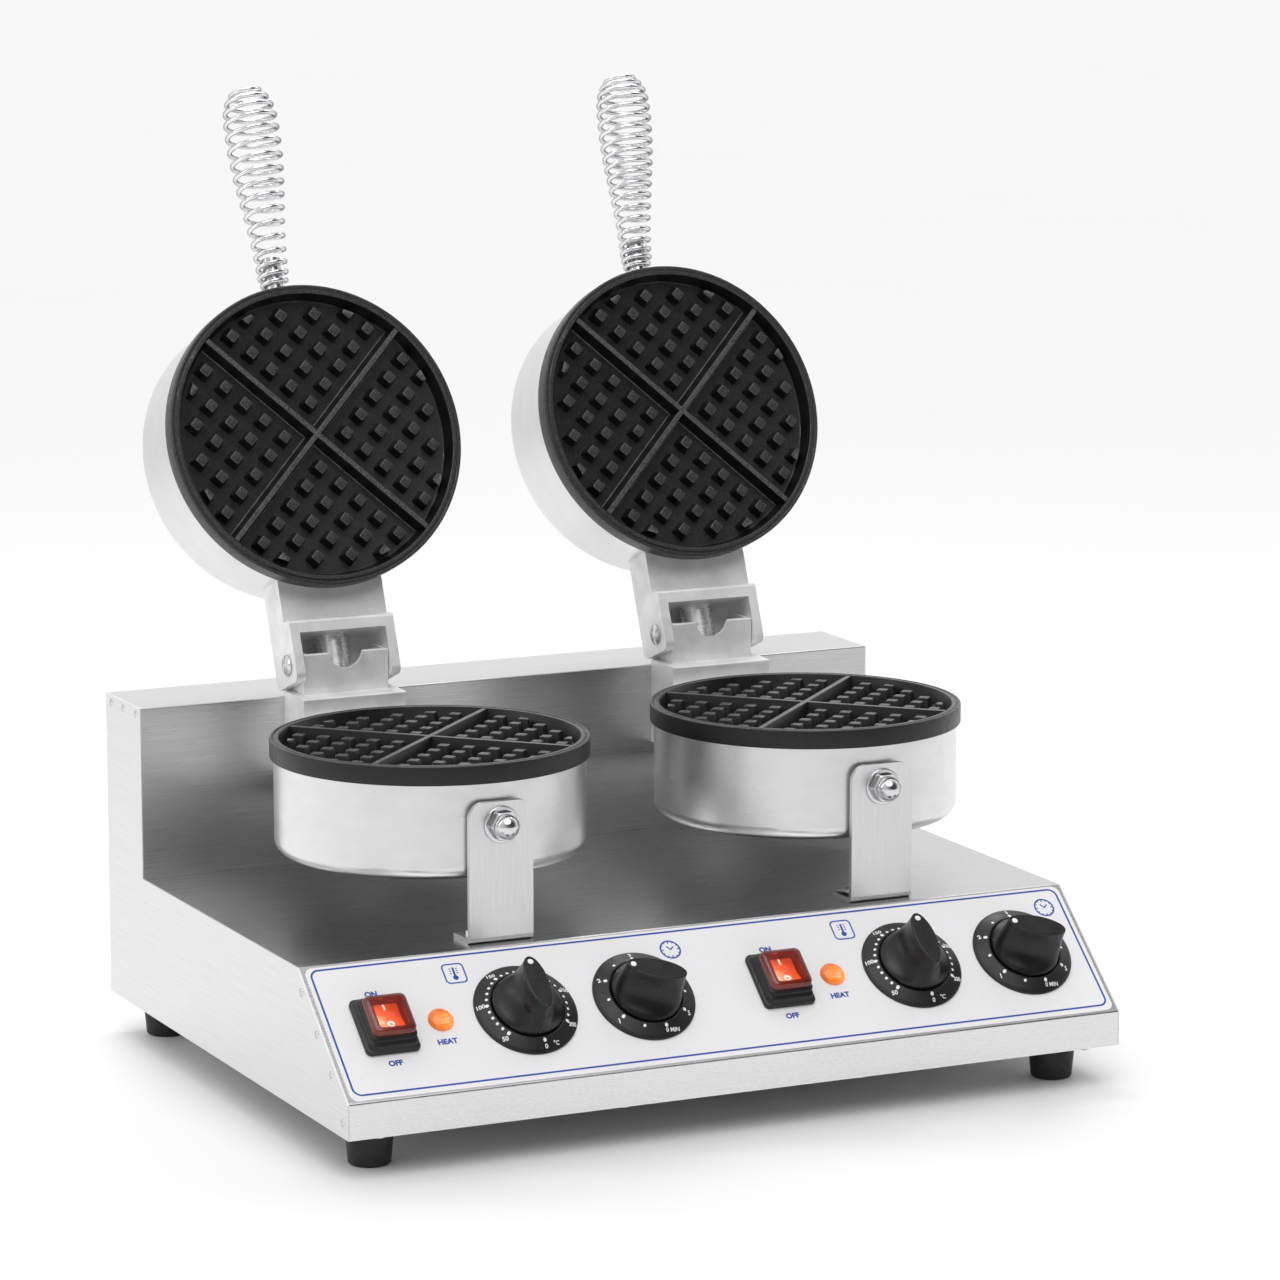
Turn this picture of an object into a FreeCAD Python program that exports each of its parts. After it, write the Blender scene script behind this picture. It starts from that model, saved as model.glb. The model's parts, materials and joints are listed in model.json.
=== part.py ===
"""Double round waffle baker: a counter-top console with two tilting baking heads.

Millimetres, +Z up, +X to the operator's right, the operator stands on the -Y side.
The lids are drawn closed and then swung open about their pivots, because the baker
rests with both lids open on their stops.
"""

import FreeCAD
import Part
import math
import os

V = FreeCAD.Vector

# ---------------------------------------------------------------- driving sizes
BODY_W = 500.0  # width of the casing
BODY_D = 388.0  # depth of the casing, front strip to rear panel
FOOT_H = 24.0  # casing floor above the counter
STRIP_H = 21.0  # upright strip below the control panel
DECK_H = 84.0  # deck above the casing floor
PANEL_RUN = 73.4  # depth taken up by the sloping control panel
SPLASH_Y = 327.0  # front face of the raised back box
SPLASH_H = 190.0  # top of the back box above the casing floor
SHEET = 1.0  # sheet steel of the casing
ORIGIN_Y = 239.775  # the origin lies this far behind the front strip

HEADS = {"left": -121.5, "right": 129.5}  # X of each baking head
HEAD_Y = 179.2  # axis of the plates behind the front strip
PARTING_H = 189.4  # top of the lower plate above the casing floor
LID_GAP = 0.5  # air between the two rims when the lid is shut
PLATE_R = 95.5  # outside of the cast plates
RIM_H = 11.5  # visible edge of a plate
CAVITY_R = 90.0  # baking cavity at the rim
CAVITY_FLOOR_R = 87.4  # baking cavity at its floor
CAVITY_DEPTH = 9.5
RIDGE_TOP = 3.4  # width of the dividing ridges at the top
RIDGE_FOOT = 6.8  # and at the cavity floor
PEG_TOP = 6.2  # side of a square peg at its top
PEG_FOOT = 9.4  # and at the cavity floor
PEG_H = 7.4
PEG_FIRST = 14.65  # first peg row from the ridge's middle
PEG_PITCH = 15.9
PEG_LIMIT_R = 84.5  # pegs by the wall are cut flat here
PLATE_BACK = 19.0  # thickness of the casting behind the parting plane
DRUM_R = 93.1
DRUM_DEPTH = 68.4  # parting plane to the closed end of a drum
DRUM_WALL = 1.2
DRUM_CORNER_R = 8.0

PIN_Y = 319.1  # pivot axis of the lids
PIN_H = 210.7
OPEN_DEG = 111.6  # how far an open lid has swung from shut
POST_FRONT_Y = 309.0
POST_HALF = 28.0
POST_TOP_H = 218.3
BASE_TOP_H = 193.4
BASE_FRONT_Y = 295.0
BASE_HALF = 34.0
EAR_HALF = 34.5  # outside of the lid bracket
EAR_T = 6.0
TUBE_R = 10.0  # wire conduit between bracket and post
TUBE_H = 219.6

HANDLE_H = 224.0  # handle axis above the casing floor, lid shut
HANDLE_SWAY = {"left": 0.5, "right": 4.8}  # degrees each handle leans to the right
HANDLE_TURNS = {"left": 17, "right": 20}
STRAP_X = {"left": -119.0, "right": 131.0}
STRAP_W = 41.0
STRAP_Y = 81.0
STRAP_TOP_H = 168.0
STRAP_NUT_H = 154.0
BASE_WALL = 5.5  # side walls of the hinge base
BASE_BOLTS = [(dx, h) for dx in (-31.2, 31.2) for h in (149.0, 182.0)]  # X and height

SLOPE = math.atan2(DECK_H - STRIP_H, PANEL_RUN)
SLOPE_DEG = math.degrees(SLOPE)
PANEL_LEN = math.hypot(DECK_H - STRIP_H, PANEL_RUN)
ROW_V = 49.4  # height of the controls' row up the slope
GROUPS = {"left": -212.0, "right": 40.0}  # X of each group's rocker switch
LAMP_DX = 34.8  # the other controls, to the right of the rocker
THERMOSTAT_DX = 88.0
TIMER_DX = 163.4
TIMER_REST_DEG = 71.0  # the timer knob rests turned this far anticlockwise

DECK_Z = FOOT_H + DECK_H
PARTING_Z = FOOT_H + PARTING_H
PIN_Z = FOOT_H + PIN_H
SPLASH_Z = FOOT_H + SPLASH_H
HALF_W = BODY_W / 2.0


# ---------------------------------------------------------------- helpers
def export(shape, node):
    """Write one node, moved so that the origin lies under the middle of the baker."""
    moved = shape.copy()
    moved.translate(V(0, -ORIGIN_Y, 0))
    moved.exportStep("parts/" + node + ".step")
    print(node, round(moved.Volume, 1), moved.isValid(), len(moved.Solids))


def box(x0, x1, y0, y1, z0, z1):
    return Part.makeBox(x1 - x0, y1 - y0, z1 - z0, V(x0, y0, z0))


def rod(radius, start, end):
    """A cylinder from one point to another."""
    axis = end.sub(start)
    return Part.makeCylinder(radius, axis.Length, start, axis)


def prism_x(points_yz, x0, x1):
    """A (y, z) outline drawn out along X."""
    wire = Part.makePolygon([V(x0, y, z) for y, z in points_yz + points_yz[:1]])
    return Part.Face(wire).extrude(V(x1 - x0, 0, 0))


def turned(points_rz):
    """A solid of revolution about Z from an (r, z) outline of straight runs."""
    wire = Part.makePolygon([V(r, 0, z) for r, z in points_rz + points_rz[:1]])
    return Part.Face(wire).revolve(V(0, 0, 0), V(0, 0, 1), 360)


def rounded_block(width, height, z0, z1, corner):
    """An upright block centred on the Z axis with rounded vertical corners."""
    block = box(-width / 2, width / 2, -height / 2, height / 2, z0, z1)
    upright = [e for e in block.Edges if abs(e.tangentAt(e.FirstParameter).z) > 0.99]
    return block.makeFillet(corner, upright)


def hexagon(across_flats, z0, z1):
    corner = across_flats / math.sqrt(3)
    points = [
        V(corner * math.cos(math.radians(60 * k)), corner * math.sin(math.radians(60 * k)), z0)
        for k in range(7)
    ]
    return Part.Face(Part.makePolygon(points)).extrude(V(0, 0, z1 - z0))


def fillet_where(shape, radius, test):
    """Round the edges whose middle point passes the test."""
    chosen = [e for e in shape.Edges if test(e.CenterOfMass, e)]
    return shape.makeFillet(radius, chosen)


def along_x(edge):
    return abs(edge.tangentAt(edge.FirstParameter).x) > 0.999


def along_y(edge):
    return abs(edge.tangentAt(edge.FirstParameter).y) > 0.999


def on_panel(shape, x, v=ROW_V, twist=0.0):
    """Put a piece drawn about Z onto the sloping panel, x across and v up the slope."""
    placed = shape.copy()
    placed.rotate(V(0, 0, 0), V(0, 0, 1), twist)
    placed.rotate(V(0, 0, 0), V(1, 0, 0), SLOPE_DEG)
    base_z = FOOT_H + STRIP_H
    placed.translate(V(x, v * math.cos(SLOPE), base_z + v * math.sin(SLOPE)))
    return placed


def swung_open(shape):
    """Swing a lid piece, drawn shut, up to its rest position."""
    lifted = shape.copy()
    lifted.rotate(V(0, PIN_Y, PIN_Z), V(1, 0, 0), -OPEN_DEG)
    return lifted


def at_head(shape, side, z=PARTING_Z):
    placed = shape.copy()
    placed.translate(V(HEADS[side], HEAD_Y, z))
    return placed


def upside_down(shape):
    turned_over = shape.copy()
    turned_over.rotate(V(0, 0, 0), V(1, 0, 0), 180)
    return turned_over


# ---------------------------------------------------------------- casing
def control_positions():
    for side, x in GROUPS.items():
        yield side, x, x + LAMP_DX, x + THERMOSTAT_DX, x + TIMER_DX


def panel_cutouts(depth):
    """Holes for the controls, as solids through the sloping panel."""
    holes = []
    for side, rocker_x, lamp_x, thermostat_x, timer_x in control_positions():
        holes.append(on_panel(rounded_block(28.0, 32.0, -depth, depth, 2.0), rocker_x))
        holes.append(on_panel(rod(6.2, V(0, 0, -depth), V(0, 0, depth)), lamp_x))
        for x in (thermostat_x, timer_x):
            holes.append(on_panel(rod(5.0, V(0, 0, -depth), V(0, 0, depth)), x))
    return holes


def console_shell():
    """Front strip, control panel and deck folded from one sheet."""
    strip_z = FOOT_H + STRIP_H
    outer = [
        (0, FOOT_H),
        (0, strip_z),
        (PANEL_RUN, DECK_Z),
        (SPLASH_Y, DECK_Z),
        (SPLASH_Y, FOOT_H - 50),
        (0, FOOT_H - 50),
    ]
    bend_low = SHEET * math.tan(SLOPE / 2 + math.pi / 4 - SLOPE)
    bend_high = SHEET * math.tan(SLOPE / 2)
    inner = [
        (SHEET, FOOT_H - 60),
        (SHEET, strip_z - bend_low),
        (PANEL_RUN + bend_high, DECK_Z - SHEET),
        (SPLASH_Y + 10, DECK_Z - SHEET),
        (SPLASH_Y + 10, FOOT_H - 60),
    ]
    inside_x = HALF_W - SHEET
    shell = prism_x(outer, -inside_x, inside_x).cut(prism_x(inner, -inside_x - 5, inside_x + 5))
    shell = shell.cut(box(-HALF_W, HALF_W, -5, SPLASH_Y + 5, FOOT_H - 100, FOOT_H))

    def is_bend(middle, edge):
        low = abs(middle.y) < 0.01 and abs(middle.z - strip_z) < 0.01
        high = abs(middle.y - PANEL_RUN) < 0.01 and abs(middle.z - DECK_Z) < 0.01
        return along_x(edge) and (low or high)

    shell = fillet_where(shell, 1.6, is_bend)
    for hole in panel_cutouts(4.0):
        shell = shell.cut(hole)
    for side in HEADS:
        for dx in (-13, 13):
            x = STRAP_X[side] + dx
            shell = shell.cut(rod(2.6, V(x, 95, DECK_Z - 5), V(x, 95, DECK_Z + 5)))
    return shell


def console_side(sign):
    outline = [
        (0, FOOT_H),
        (0, FOOT_H + STRIP_H),
        (PANEL_RUN, DECK_Z),
        (SPLASH_Y, DECK_Z),
        (SPLASH_Y, FOOT_H),
    ]
    plate = prism_x(outline, HALF_W - SHEET, HALF_W)
    plate = fillet_where(plate, 0.35, lambda m, e: m.x > HALF_W - 0.01 and m.y < SPLASH_Y - 1)
    if sign < 0:
        plate = plate.mirror(V(0, 0, 0), V(1, 0, 0))
    return plate


def rear_side(sign):
    plate = box(HALF_W - SHEET, HALF_W, SPLASH_Y, BODY_D, FOOT_H, SPLASH_Z)
    plate = fillet_where(plate, 0.35, lambda m, e: m.x > HALF_W - 0.01)
    if sign < 0:
        plate = plate.mirror(V(0, 0, 0), V(1, 0, 0))
    return plate


def splash_panel():
    """Front and top of the back box, with an opening behind each hinge for the wires."""
    inside_x = HALF_W - SHEET
    front = box(-inside_x, inside_x, SPLASH_Y, SPLASH_Y + SHEET, FOOT_H + SHEET, SPLASH_Z)
    top = box(-inside_x, inside_x, SPLASH_Y, BODY_D, SPLASH_Z - SHEET, SPLASH_Z)
    folded = front.fuse(top).removeSplitter()

    def is_bend(middle, edge):
        at_front = abs(middle.y - SPLASH_Y) < 0.01 or abs(middle.y - BODY_D) < 0.01
        return along_x(edge) and at_front and abs(middle.z - SPLASH_Z) < 0.01

    folded = fillet_where(folded, 0.8, is_bend)
    for x in HEADS.values():
        wires = box(x - 18, x + 18, SPLASH_Y - 5, SPLASH_Y + 5, FOOT_H + 150, FOOT_H + 178)
        folded = folded.cut(wires)
        for dx, height in BASE_BOLTS:
            hole = rod(2.6, V(x + dx, SPLASH_Y - 5, FOOT_H + height), V(x + dx, SPLASH_Y + 5, FOOT_H + height))
            folded = folded.cut(hole)
    return folded


GLAND_X = 190.0
GLAND_H = 45.0
GLAND_R = 10.0


def rear_panel():
    """Back of the box, with vent slots and the cable gland's hole."""
    inside_x = HALF_W - SHEET
    panel = box(-inside_x, inside_x, BODY_D - SHEET, BODY_D, FOOT_H, SPLASH_Z - SHEET)
    slots = []
    for cluster in (-120, 120):
        for k in range(9):
            x = cluster + (k - 4) * 11.0
            slots.append(box(x - 2, x + 2, BODY_D - 5, BODY_D + 5, FOOT_H + 110, FOOT_H + 150))
    gland_z = FOOT_H + GLAND_H
    slots.append(rod(GLAND_R, V(GLAND_X, BODY_D - 5, gland_z), V(GLAND_X, BODY_D + 5, gland_z)))
    return panel.cut(Part.makeCompound(slots))


FEET = [(x, y) for x in (-223.0, 223.0) for y in (34.0, 362.0)]


BASE_SCREWS = [(x, y) for y in (5.6, BODY_D - 5.6) for x in (-229.0, -76.5, 76.5, 229.0)]


def bottom_plate():
    inside_x = HALF_W - SHEET
    plate = box(-inside_x, inside_x, SHEET, BODY_D - SHEET, FOOT_H, FOOT_H + SHEET)
    holes = [rod(2.7, V(x, y, FOOT_H - 5), V(x, y, FOOT_H + 5)) for x, y in FEET]
    holes += [rod(1.7, V(x, y, FOOT_H - 5), V(x, y, FOOT_H + 5)) for x, y in BASE_SCREWS]
    for x in HEADS.values():
        for k in range(7):
            y = 120 + k * 16
            holes.append(box(x - 40, x + 40, y, y + 4, FOOT_H - 5, FOOT_H + 5))
    return plate.cut(Part.makeCompound(holes))


def panel_overlay():
    """Printed film on the sloping panel."""
    film = rounded_block(494.0, 93.6, 0.0, 0.4, 5.0)
    film = on_panel(film, 0.0, PANEL_LEN / 2)
    return film.cut(Part.makeCompound(panel_cutouts(4.0)))


def rubber_feet():
    """Tapered feet with a screw recess underneath."""
    foot = turned([(2.6, FOOT_H), (14.2, FOOT_H), (14.2, 20), (12.4, 1.2), (11.2, 0), (5.0, 0), (5.0, 9), (2.6, 9)])
    feet = []
    for x, y in FEET:
        placed = foot.copy()
        placed.translate(V(x, y, 0))
        feet.append(placed)
    return Part.makeCompound(feet)


def pan_screw(head_r, head_h, shank_r, shank_len):
    """A screw pointing up, its domed head below Z = 0."""
    head = Part.makeSphere(head_r * 1.6)
    head.translate(V(0, 0, head_r * 1.6 - head_h))
    head = head.common(Part.makeCylinder(head_r, head_h, V(0, 0, -head_h)))
    slot = box(-head_r, head_r, -0.5, 0.5, -head_h - 1, -head_h * 0.55)
    return head.cut(slot).fuse(Part.makeCylinder(shank_r, shank_len)).removeSplitter()


def base_screws():
    """Screws of the feet, and those that hold the bottom plate."""
    screws = []
    for x, y in FEET:
        screw = pan_screw(4.4, 2.6, 2.4, 22.0)
        screw.translate(V(x, y, 9.0))
        screws.append(screw)
    for x, y in BASE_SCREWS:
        screw = pan_screw(3.4, 2.2, 1.6, 8.0)
        screw.translate(V(x, y, FOOT_H))
        screws.append(screw)
    return Part.makeCompound(screws)


def side_rivets():
    """Blind rivets that hold the side panels, with low domed heads."""
    dome = Part.makeSphere(4.0)
    dome.translate(V(0, 0, -3.2))
    dome = dome.common(Part.makeCylinder(2.4, 0.8))
    dome.rotate(V(0, 0, 0), V(0, 1, 0), 90)
    places = [(y, SPLASH_H - 4.6) for y in (334.5, 356.5, 377.5)]
    for v in (26.0, 54.0, 84.0):
        inward = 6.5
        y = v * math.cos(SLOPE) + inward * math.sin(SLOPE)
        places.append((y, STRIP_H + v * math.sin(SLOPE) - inward * math.cos(SLOPE)))
    places.append((7.5, 9.0))
    rivets = []
    for y, height in places:
        rivet = dome.copy()
        rivet.translate(V(HALF_W, y, FOOT_H + height))
        rivets.append(rivet)
        rivets.append(rivet.mirror(V(0, 0, 0), V(1, 0, 0)))
    return Part.makeCompound(rivets)


def cable_gland():
    """Bulkhead gland for the supply cord, with a nut on each side of the rear panel."""
    gland_bore = 5.0
    body = hexagon(24.0, 0.0, 6.0)
    body = body.fuse(turned([(0, 5), (11.0, 5), (11.0, 14), (8.5, 20), (0, 20)]))
    body = body.fuse(Part.makeCylinder(9.8, 14.0, V(0, 0, -13)))
    body = body.fuse(hexagon(24.0, -6.0, -SHEET))
    body = body.cut(Part.makeCylinder(gland_bore, 60.0, V(0, 0, -30)))
    body.rotate(V(0, 0, 0), V(1, 0, 0), -90)
    body.translate(V(GLAND_X, BODY_D, FOOT_H + GLAND_H))
    return body


def terminal_block():
    """Supply terminals on the bottom plate."""
    block = box(120, 168, 340, 360, FOOT_H + SHEET, FOOT_H + SHEET + 18)
    wells = []
    for k in range(4):
        x = 126 + k * 12
        wells.append(rod(2.6, V(x, 350, FOOT_H + 10), V(x, 350, FOOT_H + 40)))
        wells.append(rod(2.0, V(x, 330, FOOT_H + 6), V(x, 370, FOOT_H + 6)))
    return block.cut(Part.makeCompound(wells))


# ---------------------------------------------------------------- baking heads
def square_frustum(foot, top, height):
    f, t = foot / 2, top / 2
    wedge = Part.makeWedge(-f, 0, -f, -t, -t, f, height, f, t, t)
    wedge.rotate(V(0, 0, 0), V(1, 0, 0), 90)
    return wedge


def baking_plate():
    """Cast plate, its rim on Z = 0 and its back below, with pegs and dividing ridges."""
    body = turned([
        (0, -PLATE_BACK), (88.0, -PLATE_BACK), (91.5, -16.0), (91.5, -RIM_H), (PLATE_R, -RIM_H),
        (PLATE_R, -0.8), (PLATE_R - 0.8, 0), (93.6, 0), (93.2, -0.6), (92.8, 0), (CAVITY_R, 0),
        (CAVITY_FLOOR_R, -CAVITY_DEPTH), (0, -CAVITY_DEPTH),
    ])
    root = 0.5  # the pegs start this far inside the floor
    added = []
    half_top, half_foot, reach = RIDGE_TOP / 2, RIDGE_FOOT / 2, CAVITY_R - 0.6
    section = [(-half_foot, -CAVITY_DEPTH - root), (half_foot, -CAVITY_DEPTH - root),
               (half_foot, -CAVITY_DEPTH), (half_top, -0.3), (-half_top, -0.3), (-half_foot, -CAVITY_DEPTH)]
    ridge = prism_x(section, -reach, reach)
    bowl = turned([(0, -PLATE_BACK), (91.0, -PLATE_BACK), (91.0, -0.2), (0, -0.2)])
    for angle in (45, 135):
        arm = ridge.copy()
        arm.rotate(V(0, 0, 0), V(0, 0, 1), angle)
        added.append(arm.common(bowl))
    peg = square_frustum(PEG_FOOT + root * 0.4, PEG_TOP, PEG_H + root)
    for i in range(5):
        for j in range(5):
            along = PEG_FIRST + i * PEG_PITCH
            across = PEG_FIRST + j * PEG_PITCH
            if i + j > 5 or math.hypot(along, across) > CAVITY_R - 4:
                continue
            placed = peg.copy()
            placed.translate(V(along, across, -CAVITY_DEPTH - root))
            if math.hypot(along, across) > PEG_LIMIT_R - PEG_FOOT / 2:
                beyond = box(PEG_LIMIT_R, PEG_LIMIT_R + 20, -20, 20, -CAVITY_DEPTH - 5, 5)
                beyond.rotate(V(0, 0, 0), V(0, 0, 1), math.degrees(math.atan2(across, along)))
                placed = placed.cut(beyond)
            for quarter in range(4):
                one = placed.copy()
                one.rotate(V(0, 0, 0), V(0, 0, 1), 45 + 90 * quarter)
                added.append(one)
    return body.fuse(added).removeSplitter()


def drum_shell(holes):
    """Spun steel cup behind a plate."""
    r, low, wall, corner = DRUM_R, -DRUM_DEPTH, DRUM_WALL, DRUM_CORNER_R
    slant = corner * (1 - math.sqrt(0.5))
    edges = [
        Part.makeLine(V(0, 0, low), V(r - corner, 0, low)),
        Part.Arc(V(r - corner, 0, low), V(r - slant, 0, low + slant), V(r, 0, low + corner)).toShape(),
        Part.makeLine(V(r, 0, low + corner), V(r, 0, -RIM_H)),
        Part.makeLine(V(r, 0, -RIM_H), V(r - wall, 0, -RIM_H)),
        Part.makeLine(V(r - wall, 0, -RIM_H), V(r - wall, 0, low + corner)),
    ]
    inner = corner - wall
    bow = inner * (1 - math.sqrt(0.5))
    edges += [
        Part.Arc(V(r - wall, 0, low + corner), V(r - wall - bow, 0, low + wall + bow),
                 V(r - corner, 0, low + wall)).toShape(),
        Part.makeLine(V(r - corner, 0, low + wall), V(0, 0, low + wall)),
        Part.makeLine(V(0, 0, low + wall), V(0, 0, low)),
    ]
    cup = Part.Face(Part.Wire(edges)).revolve(V(0, 0, 0), V(0, 0, 1), 360)
    return cup.cut(Part.makeCompound(holes))


def heater_ring():
    """Tubular element pressed against the back of a plate, its cold ends to the rear."""
    tube = 4.0
    ring_r = 58.0
    height = -PLATE_BACK - tube - 0.2
    ring = Part.makeTorus(ring_r, tube, V(0, 0, 0), V(0, 0, 1), 0, 360, 320)
    ring.rotate(V(0, 0, 0), V(0, 0, 1), 110)
    ring.translate(V(0, 0, height))
    return ring


def insulation_disc():
    disc = Part.makeCylinder(80.0, 24.0, V(0, 0, -PLATE_BACK - 34.0))
    return disc


def support_strap(side):
    """Folded strap that carries the front of the lower drum."""
    t, half = 3.0, STRAP_W / 2
    x = STRAP_X[side]
    outline = [
        (STRAP_Y, DECK_Z), (STRAP_Y, FOOT_H + STRAP_TOP_H), (STRAP_Y + t, FOOT_H + STRAP_TOP_H),
        (STRAP_Y + t, DECK_Z + t), (STRAP_Y + 24, DECK_Z + t), (STRAP_Y + 24, DECK_Z),
    ]
    strap = prism_x(outline, x - half, x + half)
    strap = fillet_where(strap, 3.6, lambda m, e: along_x(e) and m.y < STRAP_Y + 0.01 and m.z < DECK_Z + 0.01)
    strap = fillet_where(strap, 10.0, lambda m, e: along_y(e) and m.z > FOOT_H + STRAP_TOP_H - 0.01)
    nut_z = FOOT_H + STRAP_NUT_H
    strap = strap.cut(rod(4.3, V(x, STRAP_Y - 5, nut_z), V(x, STRAP_Y + 10, nut_z)))
    for dx in (-13, 13):
        strap = strap.cut(rod(2.6, V(x + dx, 95, DECK_Z - 5), V(x + dx, 95, DECK_Z + 10)))
    return strap


def strap_fasteners(side):
    """Stud, spacer, washer and dome nut at the drum, and the two bolts in the deck."""
    x, nut_z = STRAP_X[side], FOOT_H + STRAP_NUT_H
    wall_y = HEAD_Y - math.sqrt(DRUM_R**2 - (x - HEADS[side])**2)
    stud = Part.makeCylinder(4.0, wall_y + 6 - STRAP_Y + 6, V(0, 0, -6))
    spacer = Part.makeCylinder(7.0, wall_y - STRAP_Y - 3.0 - 0.1, V(0, 0, 3.0)).cut(
        Part.makeCylinder(4.0, 30, V(0, 0, -10)))
    washer = Part.makeCylinder(11.0, 1.6, V(0, 0, -1.6)).cut(Part.makeCylinder(4.0, 30, V(0, 0, -10)))
    nut = hexagon(16.0, -7.6, -1.6)
    chamfer = turned([(0, -7.6), (7.8, -7.6), (9.3, -6.9), (9.3, -1.6), (0, -1.6)])
    nut = nut.common(chamfer)
    dome = Part.makeSphere(7.0)
    dome.translate(V(0, 0, -8.4))
    nut = nut.fuse(dome.common(box(-10, 10, -10, 10, -20, -5))).fuse(
        Part.makeCylinder(7.0, 1.0, V(0, 0, -8.4)))
    nut = nut.cut(Part.makeCylinder(4.0, 6.2, V(0, 0, -6.0)))
    pieces = []
    for piece in (stud, spacer, washer, nut):
        piece.rotate(V(0, 0, 0), V(1, 0, 0), -90)
        piece.translate(V(x, STRAP_Y, nut_z))
        pieces.append(piece)
    for dx in (-13, 13):
        bolt = hexagon(7.0, 3.0, 6.0).fuse(Part.makeCylinder(2.5, 16.0, V(0, 0, -8)))
        bolt.translate(V(x + dx, 95, DECK_Z))
        pieces.append(bolt)
    return Part.makeCompound(pieces)


def hinge_base(side):
    """Hollow bracket from the back box to the lower drum, with the lid's post on top."""
    x = HEADS[side]
    wall = BASE_WALL
    low, step = FOOT_H + 140, FOOT_H + 176
    top = FOOT_H + BASE_TOP_H
    outline = [(SPLASH_Y, low), (SPLASH_Y, top), (BASE_FRONT_Y, top), (BASE_FRONT_Y, step),
               (HEAD_Y + 80, step), (HEAD_Y + 80, low)]
    base = prism_x(outline, x - BASE_HALF, x + BASE_HALF)
    base = fillet_where(base, 1.2, lambda m, e: along_x(e) and abs(m.z - top) < 0.01 and m.y < BASE_FRONT_Y + 1)
    hollow = [(SPLASH_Y + 1, low + wall), (SPLASH_Y + 1, top - wall), (BASE_FRONT_Y + wall, top - wall),
              (BASE_FRONT_Y + wall, step - wall), (HEAD_Y + 70, step - wall), (HEAD_Y + 70, low + wall)]
    base = base.cut(prism_x(hollow, x - BASE_HALF + wall, x + BASE_HALF - wall))
    post_wall = 3.0
    post = box(x - POST_HALF, x + POST_HALF, POST_FRONT_Y, SPLASH_Y, top - 1, FOOT_H + POST_TOP_H)
    post = fillet_where(post, 1.0, lambda m, e: m.z > FOOT_H + POST_TOP_H - 0.01 and m.y < SPLASH_Y - 0.1)
    base = base.fuse(post).removeSplitter()
    inside = POST_HALF - post_wall
    base = base.cut(box(x - inside, x + inside, POST_FRONT_Y + post_wall, SPLASH_Y + 1, top - 5, SPLASH_Z + 99))
    notch_z = FOOT_H + TUBE_H
    base = base.cut(rod(TUBE_R + 1.5, V(x, POST_FRONT_Y - 5, notch_z), V(x, POST_FRONT_Y + 10, notch_z)))
    base = base.cut(rod(4.0, V(x - 60, PIN_Y, PIN_Z), V(x + 60, PIN_Y, PIN_Z)))
    for dx, height in BASE_BOLTS:
        z = FOOT_H + height
        base = base.cut(rod(2.5, V(x + dx, SPLASH_Y - 12, z), V(x + dx, SPLASH_Y + 5, z)))
    drum = Part.makeCylinder(DRUM_R, 300, V(x, HEAD_Y, 0))
    return base.cut(drum)


def hinge_screws(side):
    """Two shoulder screws for the lid to turn on, and four bolts that hold the hinge base."""
    x = HEADS[side]
    pins = []
    for dx, height in BASE_BOLTS:
        bolt = hexagon(8.0, 0.0, 3.5).fuse(Part.makeCylinder(2.5, 10.0, V(0, 0, -10)))
        bolt.rotate(V(0, 0, 0), V(1, 0, 0), -90)
        bolt.translate(V(x + dx, SPLASH_Y + SHEET, FOOT_H + height))
        pins.append(bolt)
    for sign in (-1, 1):
        shank = rod(4.0, V(0, 0, 0), V(0, 0, EAR_HALF - POST_HALF + 5.5))
        head = Part.makeSphere(11.0)
        head.translate(V(0, 0, 8.3))
        head = head.common(Part.makeCylinder(6.5, 2.7, V(0, 0, -2.7)))
        slot = box(-7, 7, -0.6, 0.6, -4, -1.6)
        pin = head.cut(slot).fuse(shank).removeSplitter()
        pin.rotate(V(0, 0, 0), V(0, 1, 0), -90 * sign)
        pin.translate(V(x + sign * (EAR_HALF + 0.3), PIN_Y, PIN_Z))
        pins.append(pin)
    return Part.makeCompound(pins)


BRACKET_TOP_H = 233.0
BRACKET_LOW_H = 198.0
ARM_LOW_H = 207.0
CROSS_Y = 293.0
WINDOW_Y = 301.5
EAR_END_Y = 331.2
WEB_END_Y = 332.0


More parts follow.
